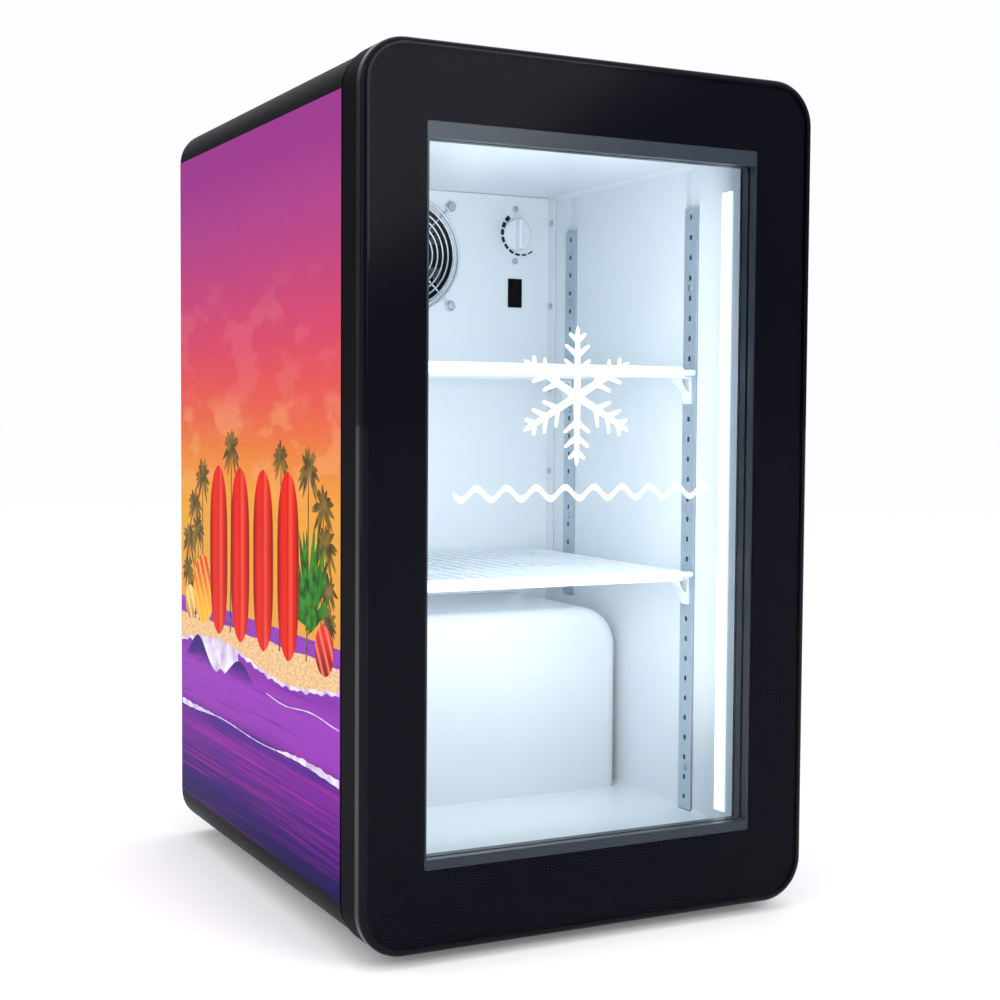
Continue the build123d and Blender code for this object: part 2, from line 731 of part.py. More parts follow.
for z in cover_screw_zs:
    for sign in (-1, 1):
        place = (sign * screw_face_x, cover_y - cover_flange / 2, z)
        cover_screws.append(screw(place, (sign, 0, 0), *cover_screw_size))
fan_hole_off = fan_hole_pitch / 2
fan_corners = [(sx * fan_hole_off, fan_z + sz * fan_hole_off) for sx in (-1, 1) for sz in (-1, 1)]
guard_y = cover_y - guard_eye_wire_r
fan_screws = [screw((x, guard_y - guard_eye_wire_r, z), (0, 1, 0), *fan_screw_size) for x, z in fan_corners]
dial_screw_zs = (dial_z - dial_screw_pitch / 2, dial_z + dial_screw_pitch / 2)
dial_screws = [screw((dial_x, cover_y, z), (0, 1, 0), *dial_screw_size) for z in dial_screw_zs]
switch_body_half = switch_w / 2 - switch_bezel_w
switch_body_xs = (dial_x - switch_body_half, dial_x + switch_body_half)
switch_body_zs = (switch_z - switch_h / 2 + switch_bezel_w, switch_z + switch_h / 2 - switch_bezel_w)
switch_well = block(*switch_body_xs, *cover_cut, *switch_body_zs)
dial_hole = rod_y(dial_x, *cover_cut, dial_z, dial_shaft_r + dial_hole_gap)
nodes["evaporator_cover"] = (
    cover - fan_hole - return_slots - switch_well - dial_hole - cover_screws - fan_screws - dial_screws
)
nodes["cover_screws"] = solids_of(cover_screws + dial_screws)
nodes["fan_screws"] = solids_of(fan_screws)
nodes["inner_liner"] = nodes["inner_liner"] - cover_screws
foam = foam - cover_screws


def fan_frame(x, y0, z):
    """Square axial-fan housing from y0 back: ring duct, three struts and a motor cup with its shaft."""
    square = extrude(RectangleRounded(fan_size, fan_size, fan_corner_r), fan_depth / 2, both=True)
    body = Pos(x, y0 + fan_depth / 2, z) * Rot(90, 0, 0) * square
    body = body - rod_y(x, y0 - 1, y0 + fan_depth + 1, z, fan_ring_r)
    waist = rod_y(x, y0 + fan_flange_t, y0 + fan_depth - fan_flange_t, z, fan_size)
    body = body - (waist - rod_y(x, y0, y0 + fan_depth, z, fan_ring_r + fan_duct_wall))
    motor_y0 = y0 + fan_depth - fan_cup_l
    cup = rod_y(x, motor_y0, y0 + fan_depth, z, fan_hub_r)
    shaft = rod_y(x, motor_y0 - fan_shaft_l, motor_y0, z, fan_shaft_r)
    body = body + cup + shaft
    for turn in (90, 210, 330):
        strut = block(0, fan_ring_r + 1, -fan_strut_half_w, fan_strut_half_w, -fan_strut_half_t,
                      fan_strut_half_t)
        body = body + Pos(x, y0 + fan_depth - fan_cup_l / 2, z) * Rot(0, turn, 0) * strut
    for sx in (-1, 1):
        for sz in (-1, 1):
            hole_x = x + sx * fan_hole_off
            hole_z = z + sz * fan_hole_off
            body = body - rod_y(hole_x, y0 - 1, y0 + fan_depth + 1, hole_z, fan_hole_r)
    return body


def fan_rotor(x, y0, z):
    """Fan wheel: domed hub with a blind bore, and pitched blades cut to the duct's size."""
    hub_y0 = y0 + rotor_front_gap
    hub_y1 = y0 + fan_depth - rotor_rear_gap
    hub = rod_y(x, hub_y0, hub_y1, z, fan_hub_r)
    hub = fillet(hub.faces().sort_by(Axis.Y)[0].edges(), rotor_dome_r)
    blades = []
    for i in range(fan_blades):
        blade = Box(fan_ring_r, fan_blade_t, rotor_blade_chord)
        blade = Pos(fan_ring_r / 2, 0, 0) * Rot(fan_blade_angle, 0, 0) * blade
        blades.append(Pos(x, (hub_y0 + hub_y1) / 2, z) * Rot(0, 360 / fan_blades * i, 0) * blade)
    sweep_room = rod_y(x, hub_y0 + rotor_blade_inset, hub_y1 - rotor_blade_inset, z, fan_ring_r - fan_tip_gap)
    wheel = hub
    for blade in blades:
        wheel = wheel + (blade & sweep_room)
    bore = rod_y(x, hub_y0 + rotor_front_wall, hub_y1 + 1, z, fan_shaft_r + fan_shaft_gap)
    return wheel - bore


fan_y0 = cover_y + cover_t
nodes["evaporator_fan_frame"] = fan_frame(0, fan_y0, fan_z) - fan_screws
nodes["evaporator_fan_rotor"] = fan_rotor(0, fan_y0, fan_z)


def fan_guard():
    """Wire finger guard: concentric rings on four legs that end in an eye round each screw."""
    rings = []
    for i in range(guard_rings):
        ring_r = guard_outer_r - guard_pitch * i
        rings.append(Pos(0, guard_y - guard_ring_front, fan_z) * Rot(90, 0, 0) * Torus(ring_r, guard_wire_r))
    reach = fan_hole_pitch / 2 * sqrt(2) - guard_eye_r
    legs = []
    inner = guard_outer_r - guard_pitch * (guard_rings - 1)
    for x, z in fan_corners:
        turn = degrees(atan2(z - fan_z, x))
        leg = Pos((inner + reach) / 2, 0, 0) * Rot(0, 90, 0) * Cylinder(guard_wire_r, reach - inner + 1)
        legs.append(Pos(0, guard_y, fan_z) * Rot(0, -turn, 0) * leg)
        legs.append(Pos(x, guard_y, z) * Rot(90, 0, 0) * Torus(guard_eye_r, guard_eye_wire_r))
    return rings[0].fuse(*rings[1:], *legs)


nodes["fan_guard"] = fan_guard()

# ------------------------------------------------------------------ thermostat and lamp switch
body_y0 = cover_y + cover_t
body_w, body_l, body_h = thermostat_size
dial_body = block(dial_x - body_w / 2, dial_x + body_w / 2, body_y0, body_y0 + body_l, dial_z - body_h / 2,
                  dial_z + body_h / 2)
dial_shaft = rod_y(dial_x, cover_y - dial_shaft_front, body_y0 + 1, dial_z, dial_shaft_r)
nodes["thermostat_body"] = dial_body + dial_shaft - dial_screws
knob = rod_y(dial_x, cover_y - knob_gap - knob_h, cover_y - knob_gap, dial_z, knob_r)
knob = fillet(knob.faces().sort_by(Axis.Y)[0].edges(), knob_round)
ridge_ys = (cover_y - knob_gap - knob_h - knob_ridge_h, cover_y - knob_gap - knob_h / 2)
ridge = block(dial_x - knob_ridge_w / 2, dial_x + knob_ridge_w / 2, *ridge_ys, dial_z - knob_r + 1,
              dial_z + knob_r - 1)
ridge = fillet(ridge.faces().sort_by(Axis.Y)[0].edges(), knob_round)
knob_bore = rod_y(dial_x, cover_y - dial_shaft_front - dial_shaft_end_gap, cover_y, dial_z,
                  dial_shaft_r + dial_shaft_gap)
nodes["thermostat_knob"] = knob + ridge - knob_bore

bezel_y0 = cover_y - switch_bezel_t
switch_body = block(dial_x - switch_w / 2, dial_x + switch_w / 2, bezel_y0, cover_y, switch_z - switch_h / 2,
                    switch_z + switch_h / 2)
switch_body = switch_body + block(*switch_body_xs, cover_y, body_y0 + switch_body_l, *switch_body_zs)
rocker_w = switch_w - rocker_less_w
rocker_h = switch_h - rocker_less_h
well_half = rocker_h / 2 + rocker_end_gap
rocker_side = rocker_w / 2 + rocker_gap
well_ys = (bezel_y0 - 1, cover_y + switch_well_l)
switch_body = switch_body - block(dial_x - rocker_side, dial_x + rocker_side, *well_ys, switch_z - well_half,
                                  switch_z + well_half)
rocker_axis_y = cover_y + rocker_axis_back
axle_half = rocker_side + rocker_axle_hold
axle = rod_x(dial_x - axle_half, dial_x + axle_half, rocker_axis_y, switch_z, rocker_axle_r)
nodes["light_switch_body"] = switch_body + axle


def rocker():
    """Rocker seen from the side as a shallow vee in front and a keel behind, tilted about its axle."""
    end = rocker_h / 2
    rim, dip = rocker_front
    keel_half, keel_l = rocker_keel
    side_view = make_face(Polyline((-end, -rim), (0, -dip), (end, -rim), (end - 1, -1), (keel_half, keel_l),
                                   (-keel_half, keel_l), (1 - end, -1), close=True))
    body = Rot(0, 90, 0) * extrude(side_view, rocker_w / 2, both=True)
    body = body - Rot(0, 90, 0) * Cylinder(rocker_axle_r + pin_running_gap, 2 * rocker_w)
    return Pos(dial_x, rocker_axis_y, switch_z) * Rot(rocker_tilt, 0, 0) * body


nodes["light_switch_rocker"] = rocker()

# ------------------------------------------------------------------ lamp
led_open_y = (led_y - led_width / 2, led_y + led_width / 2)
led_back_x = room_half + led_depth
channel = block(room_half, led_back_x, *led_open_y, led_z0, led_z1)
led_room = block(room_half - 1, led_back_x - led_wall, led_open_y[0] + led_wall, led_open_y[1] - led_wall,
                 led_z0 + led_wall, led_z1 - led_wall)
nodes["led_channel"] = channel - led_room
lens_plate = block(room_half - led_lens_proud, room_half + 2, led_open_y[0] + led_wall,
                   led_open_y[1] - led_wall, led_z0 + led_wall, led_z1 - led_wall)
nodes["led_lens"] = fillet(lens_plate.faces().sort_by(Axis.X)[0].edges(), led_lens_proud * 0.9)

# ------------------------------------------------------------------ shelf rails
rail_screws = []


def rail(end):
    """Slotted channel standing in its wall groove, face towards the compartment, and the slots it has."""
    y = rail_ys[end]
    back = rail_face_x + rail_depth
    body = block(rail_face_x, back, y - rail_width / 2, y + rail_width / 2, rail_z0s[end], rail_z1)
    hollow = block(rail_face_x + rail_sheet_t, back + 1, y - rail_width / 2 + rail_sheet_t,
                   y + rail_width / 2 - rail_sheet_t, rail_z0s[end] - 1, rail_z1 + 1)
    own_slots = [z for z in slot_zs if z > rail_z0s[end] + slot_h]
    slot_xs = (rail_face_x - 1, rail_face_x + rail_sheet_t + 1)
    slots = [block(*slot_xs, y - slot_w / 2, y + slot_w / 2, z, z + slot_h) for z in own_slots]
    return body - hollow - slots, own_slots


def screw_heights(own_slots):
    """Three screw heights between slots, low, middle and high, away from where a clip hangs."""
    gaps = [z + (slot_pitch + slot_h) / 2 for z in own_slots[:-1]]
    clip_spans = [(z - slot_pitch - slot_h, z + slot_pitch) for z in clip_slot_zs.values()]
    free = [z for z in gaps if not any(low < z < high for low, high in clip_spans)]
    return free[1], free[len(free) // 2], free[-4]


rails = {"left": [], "right": []}
for end, y in rail_ys.items():
    right_rail, own_slots = rail(end)
    for side, sign in (("left", -1), ("right", 1)):
        body = right_rail if side == "right" else mirror(right_rail, about=Plane.YZ)
        for z in screw_heights(own_slots):
            fixing = screw((sign * rail_face_x, y, z), (sign, 0, 0), *rail_screw_size)
            rail_screws.append(fixing)
            body = body - fixing
        rails[side].append(body)
for side, pair in rails.items():
    nodes[f"shelf_rails_{side}"] = solids_of(pair)
nodes["rail_screws"] = solids_of(rail_screws)
nodes["inner_liner"] = nodes["inner_liner"] - rail_screws
foam = foam - rail_screws


# ------------------------------------------------------------------ shelves and their clips
def wire_shelf(z):
    """Wire shelf: cross rods and two side rods under front-to-back wires, with a flat front lip."""
    lip_half = room_half - shelf_lip_inset
    lip_y1 = shelf_y0 + shelf_lip_t
    front_y = lip_y1 + shelf_cross_rod_r - 0.6
    rear_y = shelf_y1 - 2 * shelf_cross_rod_r
    front_rod = rod_x(-shelf_half, shelf_half, front_y, z, shelf_cross_rod_r)
    rods = [fillet(front_rod.edges().filter_by(GeomType.CIRCLE), shelf_cross_rod_r * 0.8)]
    for y in [shelf_y0 + (shelf_y1 - shelf_y0) * share for share in shelf_cross_share] + [rear_y]:
        rods.append(rod_x(-side_rod_x, side_rod_x, y, z, shelf_cross_rod_r))
    for x in (-side_rod_x, side_rod_x):
        rods.append(rod_y(x, front_y, rear_y + 1, z, shelf_side_rod_r))
    wire_z = z + shelf_lip_h / 2 - shelf_wire_r
    wire_count = int(2 * (side_rod_x - 6) / shelf_wire_pitch) + 1
    first_x = -shelf_wire_pitch * (wire_count - 1) / 2
    for i in range(wire_count):
        rods.append(rod_y(first_x + shelf_wire_pitch * i, lip_y1 - 1, shelf_y1, wire_z - 0.2, shelf_wire_r))
    low = -shelf_lip_h / 2
    high = shelf_lip_h / 2
    cut = shelf_lip_chamfer
    outline = make_face(Polyline((-lip_half, low), (lip_half, low), (lip_half, high - cut),
                                 (lip_half - cut, high), (cut - lip_half, high), (-lip_half, high - cut),
                                 close=True))
    lip = Pos(0, lip_y1, z) * Rot(90, 0, 0) * extrude(outline, shelf_lip_t)
    return lip.fuse(*rods)


def clip(side, y, slot_z):
    """Moulded bracket hooked in two rail slots: a level arm on a curved, open web."""
    top = slot_z + slot_h
    face = rail_face_x
    tip = face - clip_arm
    waist, waist_share = clip_waist
    step_in, near_share, far_share = clip_window
    web = make_face(Polyline((face, top), (face, top - clip_drop), (face - clip_foot, top - clip_drop),
                             (face - waist, top - clip_drop * waist_share), (tip, top - clip_wall - 1),
                             (tip, top), close=True))
    edge = face - clip_wall
    inner = make_face(Polyline((edge, top - clip_wall), (edge, top - clip_drop * far_share),
                               (edge - step_in, top - clip_drop * near_share),
                               (tip + step_in, top - clip_wall), close=True))
    profile = web - inner
    body = Pos(0, y, 0) * Rot(90, 0, 0) * extrude(profile, clip_width / 2, both=True)
    half_w = slot_w / 2 - clip_clearance
    for z in (slot_z, slot_z - slot_pitch):
        body = body + block(face, face + clip_hook, y - half_w, y + half_w, z + clip_clearance,
                            z + slot_h - clip_clearance)
    return body if side == "right" else mirror(body, about=Plane.YZ)


for name, slot_z in clip_slot_zs.items():
    clip_top = slot_z + slot_h
    nodes[f"{name}_shelf"] = wire_shelf(clip_top + clip_play + shelf_side_rod_r)
    nodes[f"{name}_shelf_clips"] = solids_of([clip(side, y, slot_z) for y in rail_ys.values()
                                              for side in ("left", "right")])

# ------------------------------------------------------------------ evaporator
def fin_pack(x0, x1, y0, y1, z0, z1, rows):
    """Coil block: upright fins threaded on one serpentine tube, as separate solids of one brazed piece."""
    tube_y = (y0 + y1) / 2
    tube_zs = [z0 + (z1 - z0) * (i + 0.5) / rows for i in range(rows)]
    tube = serpentine(x0 - fin_tube_end, x1 + fin_tube_end, tube_y, tube_zs, pipe_r)
    holes = [rod_x(x0 - 1, x1 + 1, tube_y, z, pipe_r) for z in tube_zs]
    count = int((x1 - x0 - fin_t) / fin_pitch) + 1
    fin_xs = [x0 + fin_pitch * i for i in range(count)]
    fins = [block(x, x + fin_t, y0, y1, z0, z1) - holes for x in fin_xs]
    return solids_of([tube] + fins)


def serpentine(x0, x1, y, zs, tube_r):
    """One tube that runs to and fro across the fins, with half-round bends at the ends."""
    lines = []
    for i, z in enumerate(zs):
        start, end, outward = (x0, x1, 1) if i % 2 == 0 else (x1, x0, -1)
        lines.append(Line((start, y, z), (end, y, z)))
        if i + 1 < len(zs):
            half = (zs[i + 1] - z) / 2
            lines.append(ThreePointArc((end, y, z), (end + outward * half, y, z + half), (end, y, zs[i + 1])))
    path = Wire(lines)
    section = Plane(origin=path @ 0, z_dir=path % 0) * Circle(tube_r)
    return sweep(section, path=path)


evap_half = room_half - evap_side_gap
evap_y0 = cover_y + cover_t + evap_cover_gap
evap_z0 = step_z + evap_above_step
evap_z1 = fan_z - fan_size / 2 - evap_below_fan
nodes["evaporator"] = fin_pack(-evap_half, evap_half, evap_y0, evap_y0 + evap_depth, evap_z0, evap_z1,
                               evap_rows)

# ------------------------------------------------------------------ machine bay
cond_y1 = rear_sheet_y - condenser_rear_gap
cond_y0 = cond_y1 - condenser_t
cond_z0 = base_top + condenser_floor_gap
cond_z1 = bay_shoulder - condenser_headroom
cond_x1 = condenser_x + condenser_w / 2
nodes["condenser"] = fin_pack(condenser_x - condenser_w / 2, cond_x1, cond_y0, cond_y1, cond_z0, cond_z1,
                              condenser_rows)
cond_fan_y0 = cond_y0 - fan_depth - condenser_fan_gap
cond_fan_z = (cond_z0 + cond_z1) / 2
nodes["condenser_fan_frame"] = fan_frame(condenser_x, cond_fan_y0, cond_fan_z)
nodes["condenser_fan_rotor"] = fan_rotor(condenser_x, cond_fan_y0, cond_fan_z)

comp_y = (bay_y0 + rear_sheet_y) / 2 + compressor_off_middle
mount_z = base_top + grommet_h
can_z0 = mount_z + mount_t - compressor_sink
can_z1 = bay_shoulder - compressor_headroom
can = rod_z(compressor_x, comp_y, can_z0, can_z1, compressor_r)
can = fillet(can.edges().filter_by(GeomType.CIRCLE), min(compressor_r, can_z1 - can_z0) * 0.45)
stub_x = compressor_x - compressor_r - stub_length
stub_z = mount_z + stub_above_mount
stub = rod_x(stub_x, compressor_x - compressor_r / 2, comp_y, stub_z, stub_r)
mount = block(compressor_x - mount_half, compressor_x + mount_half, comp_y - mount_half, comp_y + mount_half,
              mount_z, mount_z + mount_t)
nodes["compressor"] = can + stub + mount
grommets = [(compressor_x + sx * grommet_at, comp_y + sy * grommet_at) for sx in (-1, 1) for sy in (-1, 1)]
nodes["compressor_grommets"] = solids_of([rod_z(x, y, base_top, mount_z, grommet_r) for x, y in grommets])
relay_x = compressor_x + compressor_r
relay_z = mount_z + relay_above_mount
relay = block(relay_x - relay_in, relay_x + relay_out, comp_y - relay_half, comp_y + relay_half, relay_z,
              relay_z + relay_h)
nodes["compressor_relay_box"] = relay - can

rise_x = stub_x - discharge_turn
cond_mid_y = (cond_y0 + cond_y1) / 2
cond_top_row = cond_z1 - (cond_z1 - cond_z0) / condenser_rows / 2
nodes["discharge_pipe"] = tube_path(
    [(stub_x, comp_y, stub_z), (rise_x, comp_y, stub_z), (rise_x, comp_y, cond_top_row),
     (rise_x, cond_mid_y, cond_top_row), (cond_x1 + fin_tube_end, cond_mid_y, cond_top_row)],
    pipe_r, pipe_bend - pipe_r)
drier_z = base_top + drier_floor_gap
drier = rod_z(rise_x, bay_y0 + drier_wall_gap, drier_z, drier_z + drier_l, drier_r)
nodes["filter_drier"] = fillet(drier.edges().filter_by(GeomType.CIRCLE), drier_r * 0.5)

suction_y = evap_y0 + evap_depth / 2
suction_turn = bay_top - suction_below_top
nodes["suction_pipe"] = tube_path(
    [(compressor_x, comp_y, can_z1), (compressor_x, comp_y, suction_turn),
     (compressor_x, suction_y, suction_turn), (compressor_x, suction_y, evap_z0)], suction_r, suction_bend)
drain_x = -drain_x_share * room_half
drain_y = room_back - drain_rear_gap
drain_z = bay_top - drain_below_bay_top
drain_outside = rod_z(drain_x, drain_y, drain_z, step_z, drain_r)
nodes["drain_tube"] = drain_outside - rod_z(drain_x, drain_y, drain_z - 1, step_z + 1, drain_bore_r)
for pipe in (nodes["suction_pipe"], drain_outside):
    foam = foam - pipe
    for sheet in ("inner_liner", "machine_bay_divider"):
        nodes[sheet] = nodes[sheet] - pipe
nodes["foam_insulation"] = foam
tray_y0 = bay_y0 + tray_wall
tray = block(compressor_x - tray_half, compressor_x + tray_half, tray_y0, tray_y0 + tray_depth, base_top,
             base_top + tray_h)
hollow_half = tray_half - tray_wall
tray_hollow = block(compressor_x - hollow_half, compressor_x + hollow_half, tray_y0 + tray_wall,
                    tray_y0 + tray_depth - tray_wall, base_top + tray_wall, base_top + tray_h + 1)
nodes["drain_tray"] = tray - tray_hollow

# ------------------------------------------------------------------ files
os.makedirs("parts", exist_ok=True)
for name, shape in nodes.items():
    export_step(shape, f"parts/{name}.step")
print(len(nodes), "nodes written")
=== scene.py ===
"""Looks of a countertop display cooler: the beach print on its sides, the white motif on its glass,
the scale round its dial, a finish for every part, the studio and the camera."""
import json
import math

import bpy
import numpy as np
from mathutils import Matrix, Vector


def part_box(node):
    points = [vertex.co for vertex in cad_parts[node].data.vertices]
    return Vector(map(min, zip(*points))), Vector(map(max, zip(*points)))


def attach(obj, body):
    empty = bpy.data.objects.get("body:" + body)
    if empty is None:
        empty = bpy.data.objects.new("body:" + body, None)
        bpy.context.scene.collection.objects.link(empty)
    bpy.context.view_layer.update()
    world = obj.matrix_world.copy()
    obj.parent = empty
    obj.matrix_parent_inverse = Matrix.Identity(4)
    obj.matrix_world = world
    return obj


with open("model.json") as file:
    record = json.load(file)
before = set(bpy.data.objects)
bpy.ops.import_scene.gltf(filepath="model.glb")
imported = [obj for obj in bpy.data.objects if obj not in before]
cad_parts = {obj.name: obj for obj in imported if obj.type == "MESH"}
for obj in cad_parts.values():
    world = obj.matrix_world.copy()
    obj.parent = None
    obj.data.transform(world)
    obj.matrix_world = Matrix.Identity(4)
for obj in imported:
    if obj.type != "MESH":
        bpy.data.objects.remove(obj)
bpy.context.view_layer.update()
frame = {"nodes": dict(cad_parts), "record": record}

mm = 0.001


# ------------------------------------------------------------------ shader kit
def srgb(red, green, blue):
    """Linear colour from display values between 0 and 255."""
    share = np.array([red, green, blue]) / 255
    low = share / 12.92
    high = ((share + 0.055) / 1.055) ** 2.4
    return (*np.where(share <= 0.04045, low, high).tolist(), 1.0)


class Wire:
    """A socket that carries a value through a finish. Arithmetic on it adds Math nodes."""

    def __init__(self, finish, socket):
        self.finish = finish
        self.socket = socket

    def math(self, operation, *others):
        terms = dict(enumerate([self, *others]))
        return self.finish.node("ShaderNodeMath", {"operation": operation}, terms)

    def __add__(self, other):
        return self.math("ADD", other)

    def __sub__(self, other):
        return self.math("SUBTRACT", other)

    def __rsub__(self, other):
        return self.finish.node("ShaderNodeMath", {"operation": "SUBTRACT"}, {0: other, 1: self})

    def __mul__(self, other):
        return self.math("MULTIPLY", other)

    def __truediv__(self, other):
        return self.math("DIVIDE", other)

    __radd__ = __add__
    __rmul__ = __mul__

    def fade(self, low, high):
        """0 below low, 1 above high, and an even S-curve between them."""
        settings = {"interpolation_type": "SMOOTHSTEP"}
        values = {"Value": self, "From Min": low, "From Max": high}
        return self.finish.node("ShaderNodeMapRange", settings, values)

    def band(self, low, high, soft):
        """1 between low and high, falling to 0 over a soft edge outside them."""
        return self.fade(low - soft, low) * (1 - self.fade(high, high + soft))


class NodeMaker:
    """Adds nodes to one node tree."""

    def __init__(self, tree):
        self.tree = tree

    def node(self, kind, settings, values, output=0):
        """Adds one node: its settings first, then the values or links of its sockets."""
        made = self.tree.nodes.new(kind)
        for label, value in settings.items():
            if label == "stops":
                self.stops(made.color_ramp, value)
            else:
                setattr(made, label, value)
        for label, value in values.items():
            self.feed(made.inputs[label], value)
        return Wire(self, made.outputs[output])

    def feed(self, socket, value):
        if isinstance(value, Wire):
            self.tree.links.new(value.socket, socket)
        else:
            socket.default_value = value

    def stops(self, ramp, stops):
        """Fills a colour ramp from (position, colour) pairs in rising order."""
        while len(ramp.elements) < len(stops):
            ramp.elements.new(0.5)
        for element, (position, colour) in zip(ramp.elements, stops):
            element.position = position
            element.color = colour


class Finish(NodeMaker):
    """A procedural material on one Principled shader."""

    def __init__(self, name, **constants):
        self.material = bpy.data.materials.new(name)
        self.material.use_nodes = True
        super().__init__(self.material.node_tree)
        self.shader = self.tree.nodes["Principled BSDF"]
        for label, value in constants.items():
            self.set(label.replace("_", " "), value)

    def set(self, label, value):
        self.feed(self.shader.inputs[label], value)

    def place(self):
        """x, y and z of the point on the piece, in metres."""
        whole = self.node("ShaderNodeTexCoord", {}, {}, "Object")
        return [self.node("ShaderNodeSeparateXYZ", {}, {0: whole}, axis) for axis in "XYZ"]

    def noise(self, scale, detail=2.0, stretch=(1, 1, 1)):
        """Cloudy pattern between 0 and 1, stretched by a factor along each axis."""
        whole = self.node("ShaderNodeTexCoord", {}, {}, "Object")
        scaled = self.node("ShaderNodeVectorMath", {"operation": "MULTIPLY"}, {0: whole, 1: stretch})
        return self.node("ShaderNodeTexNoise", {}, {"Vector": scaled, "Scale": scale, "Detail": detail})

    def ramp(self, factor, stops):
        return self.node("ShaderNodeValToRGB", {"stops": stops}, {0: factor})

    def mix(self, factor, first, second):
        """Colour that goes from first to second as the factor goes from 0 to 1."""
        settings = {"data_type": "RGBA"}
        return self.node("ShaderNodeMix", settings, {0: factor, 6: first, 7: second}, 2)

    def bump(self, height, strength, depth):
        """Raises the surface by the height pattern, to a depth in metres."""
        values = {"Height": height, "Strength": strength, "Distance": depth}
        self.set("Normal", self.node("ShaderNodeBump", {}, values))


# ------------------------------------------------------------------ finishes of the parts
LAMP_GLOW = 1.4


def speckled(name, dark, light, rough, grain, depth, **constants):
    """Plain moulded or coated surface: a slight cloud in its colour and gloss, and a fine grain in relief."""
    made = Finish(name, **constants)
    cloud = made.noise(14.0, 3.0)
    made.set("Base Color", made.mix(cloud, dark, light))
    made.set("Roughness", cloud * (rough[1] - rough[0]) + rough[0])
    made.bump(made.noise(grain, 2.0), 0.35, depth)
    return made


def galvanised(name):
    """Zinc-dipped sheet with its spangle: crystals that differ in tone and gloss."""
    made = Finish(name, Metallic=0.9)
    whole = made.node("ShaderNodeTexCoord", {}, {}, "Object")
    crystal = made.node("ShaderNodeTexVoronoi", {}, {"Vector": whole, "Scale": 130.0}, "Color")
    tone = made.node("ShaderNodeRGBToBW", {}, {0: crystal})
    made.set("Base Color", made.mix(tone, srgb(166, 171, 177), srgb(190, 195, 200)))
    made.set("Roughness", tone * 0.1 + 0.36)
    made.bump(tone, 0.15, 0.0002)
    return made


def brushed(name, dark, light, rough, stretch):
    """Drawn or brushed metal: fine streaks along the direction with the smallest stretch."""
    made = Finish(name, Metallic=1.0)
    streak = made.noise(220.0, 3.0, stretch)
    made.set("Base Color", made.mix(streak, dark, light))
    made.set("Roughness", streak * 0.14 + rough)
    made.bump(streak, 0.2, 0.00005)
    return made


def insulating_foam(name):
    """Cream rigid foam with open cells."""
    return speckled(name, srgb(214, 197, 142), srgb(236, 222, 176), (0.85, 0.95), 420.0, 0.0006)


def pane_glass(name, tint, gloss, haze):
    """Clear pane: what is behind shows, and a mirror grows towards grazing angles."""
    made = Finish(name)
    clear = made.node("ShaderNodeBsdfTransparent", {}, {"Color": tint})
    smear = made.noise(9.0, 2.0) * 0.03 + haze
    mirror = made.node("ShaderNodeBsdfGlossy", {}, {"Roughness": smear})
    edge_on = made.node("ShaderNodeLayerWeight", {}, {"Blend": gloss}, "Fresnel")
    both = made.node("ShaderNodeMixShader", {}, {0: edge_on, 1: clear, 2: mirror})
    made.tree.links.new(both.socket, made.tree.nodes["Material Output"].inputs["Surface"])
    made.tree.nodes.remove(made.shader)
    return made


def lamp_diffuser(name):
    """Opal strip lit from behind, brightest along its middle."""
    made = Finish(name, Base_Color=srgb(250, 252, 255), Roughness=0.4, Emission_Strength=LAMP_GLOW)
    across = made.place()[1]
    lens_low, lens_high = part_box("led_lens")
    middle = (lens_low.y + lens_high.y) / 2
    off = (across - middle).math("ABSOLUTE")
    bright = 1 - off.fade(0.0, (lens_high.y - lens_low.y) / 2) * 0.35
    made.set("Emission Color", made.mix(bright, srgb(120, 150, 175), srgb(240, 248, 255)))
    return made


def copper_tube(name):
    """Drawn copper, browned in patches."""
    made = Finish(name, Metallic=1.0)
    patch = made.noise(38.0, 4.0)
    made.set("Base Color", made.mix(patch.fade(0.35, 0.7), srgb(203, 126, 88), srgb(128, 74, 52)))
    made.set("Roughness", patch * 0.3 + 0.18)
    made.bump(made.noise(300.0, 2.0), 0.2, 0.0001)
    return made


# ------------------------------------------------------------------ beach print: colours by height
film_low, film_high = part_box("left_side_film")
film_face = -film_low.x
film_middle = (film_low.y + film_high.y) / 2
horizon = 0.2535
sky_colours = [
    (0.250, srgb(234, 163, 70)),
    (0.330, srgb(231, 166, 60)),
    (0.370, srgb(237, 160, 60)),
    (0.390, srgb(234, 143, 58)),
    (0.410, srgb(230, 127, 56)),
    (0.430, srgb(228, 109, 64)),
    (0.450, srgb(226, 95, 72)),
    (0.470, srgb(223, 85, 80)),
    (0.510, srgb(211, 73, 100)),
    (0.550, srgb(197, 70, 115)),
    (0.590, srgb(180, 66, 126)),
    (0.630, srgb(168, 66, 136)),
    (0.670, srgb(154, 56, 136)),
    (0.716, srgb(150, 54, 136)),
]
sea_colours = [
    (0.030, srgb(12, 3, 54)),
    (0.048, srgb(20, 6, 74)),
    (0.070, srgb(44, 10, 104)),
    (0.098, srgb(90, 20, 132)),
    (0.125, srgb(122, 34, 152)),
    (0.140, srgb(76, 30, 138)),
    (0.152, srgb(146, 58, 180)),
    (0.185, srgb(152, 62, 186)),
    (0.205, srgb(136, 50, 170)),
    (0.254, srgb(150, 64, 184)),
]


def by_height(made, height, colours):
    """Colour ramp over heights in metres."""
    low = colours[0][0]
    tall = colours[-1][0] - low
    stops = [((z - low) / tall, colour) for z, colour in colours]
    return made.ramp((height - low) / tall, stops)


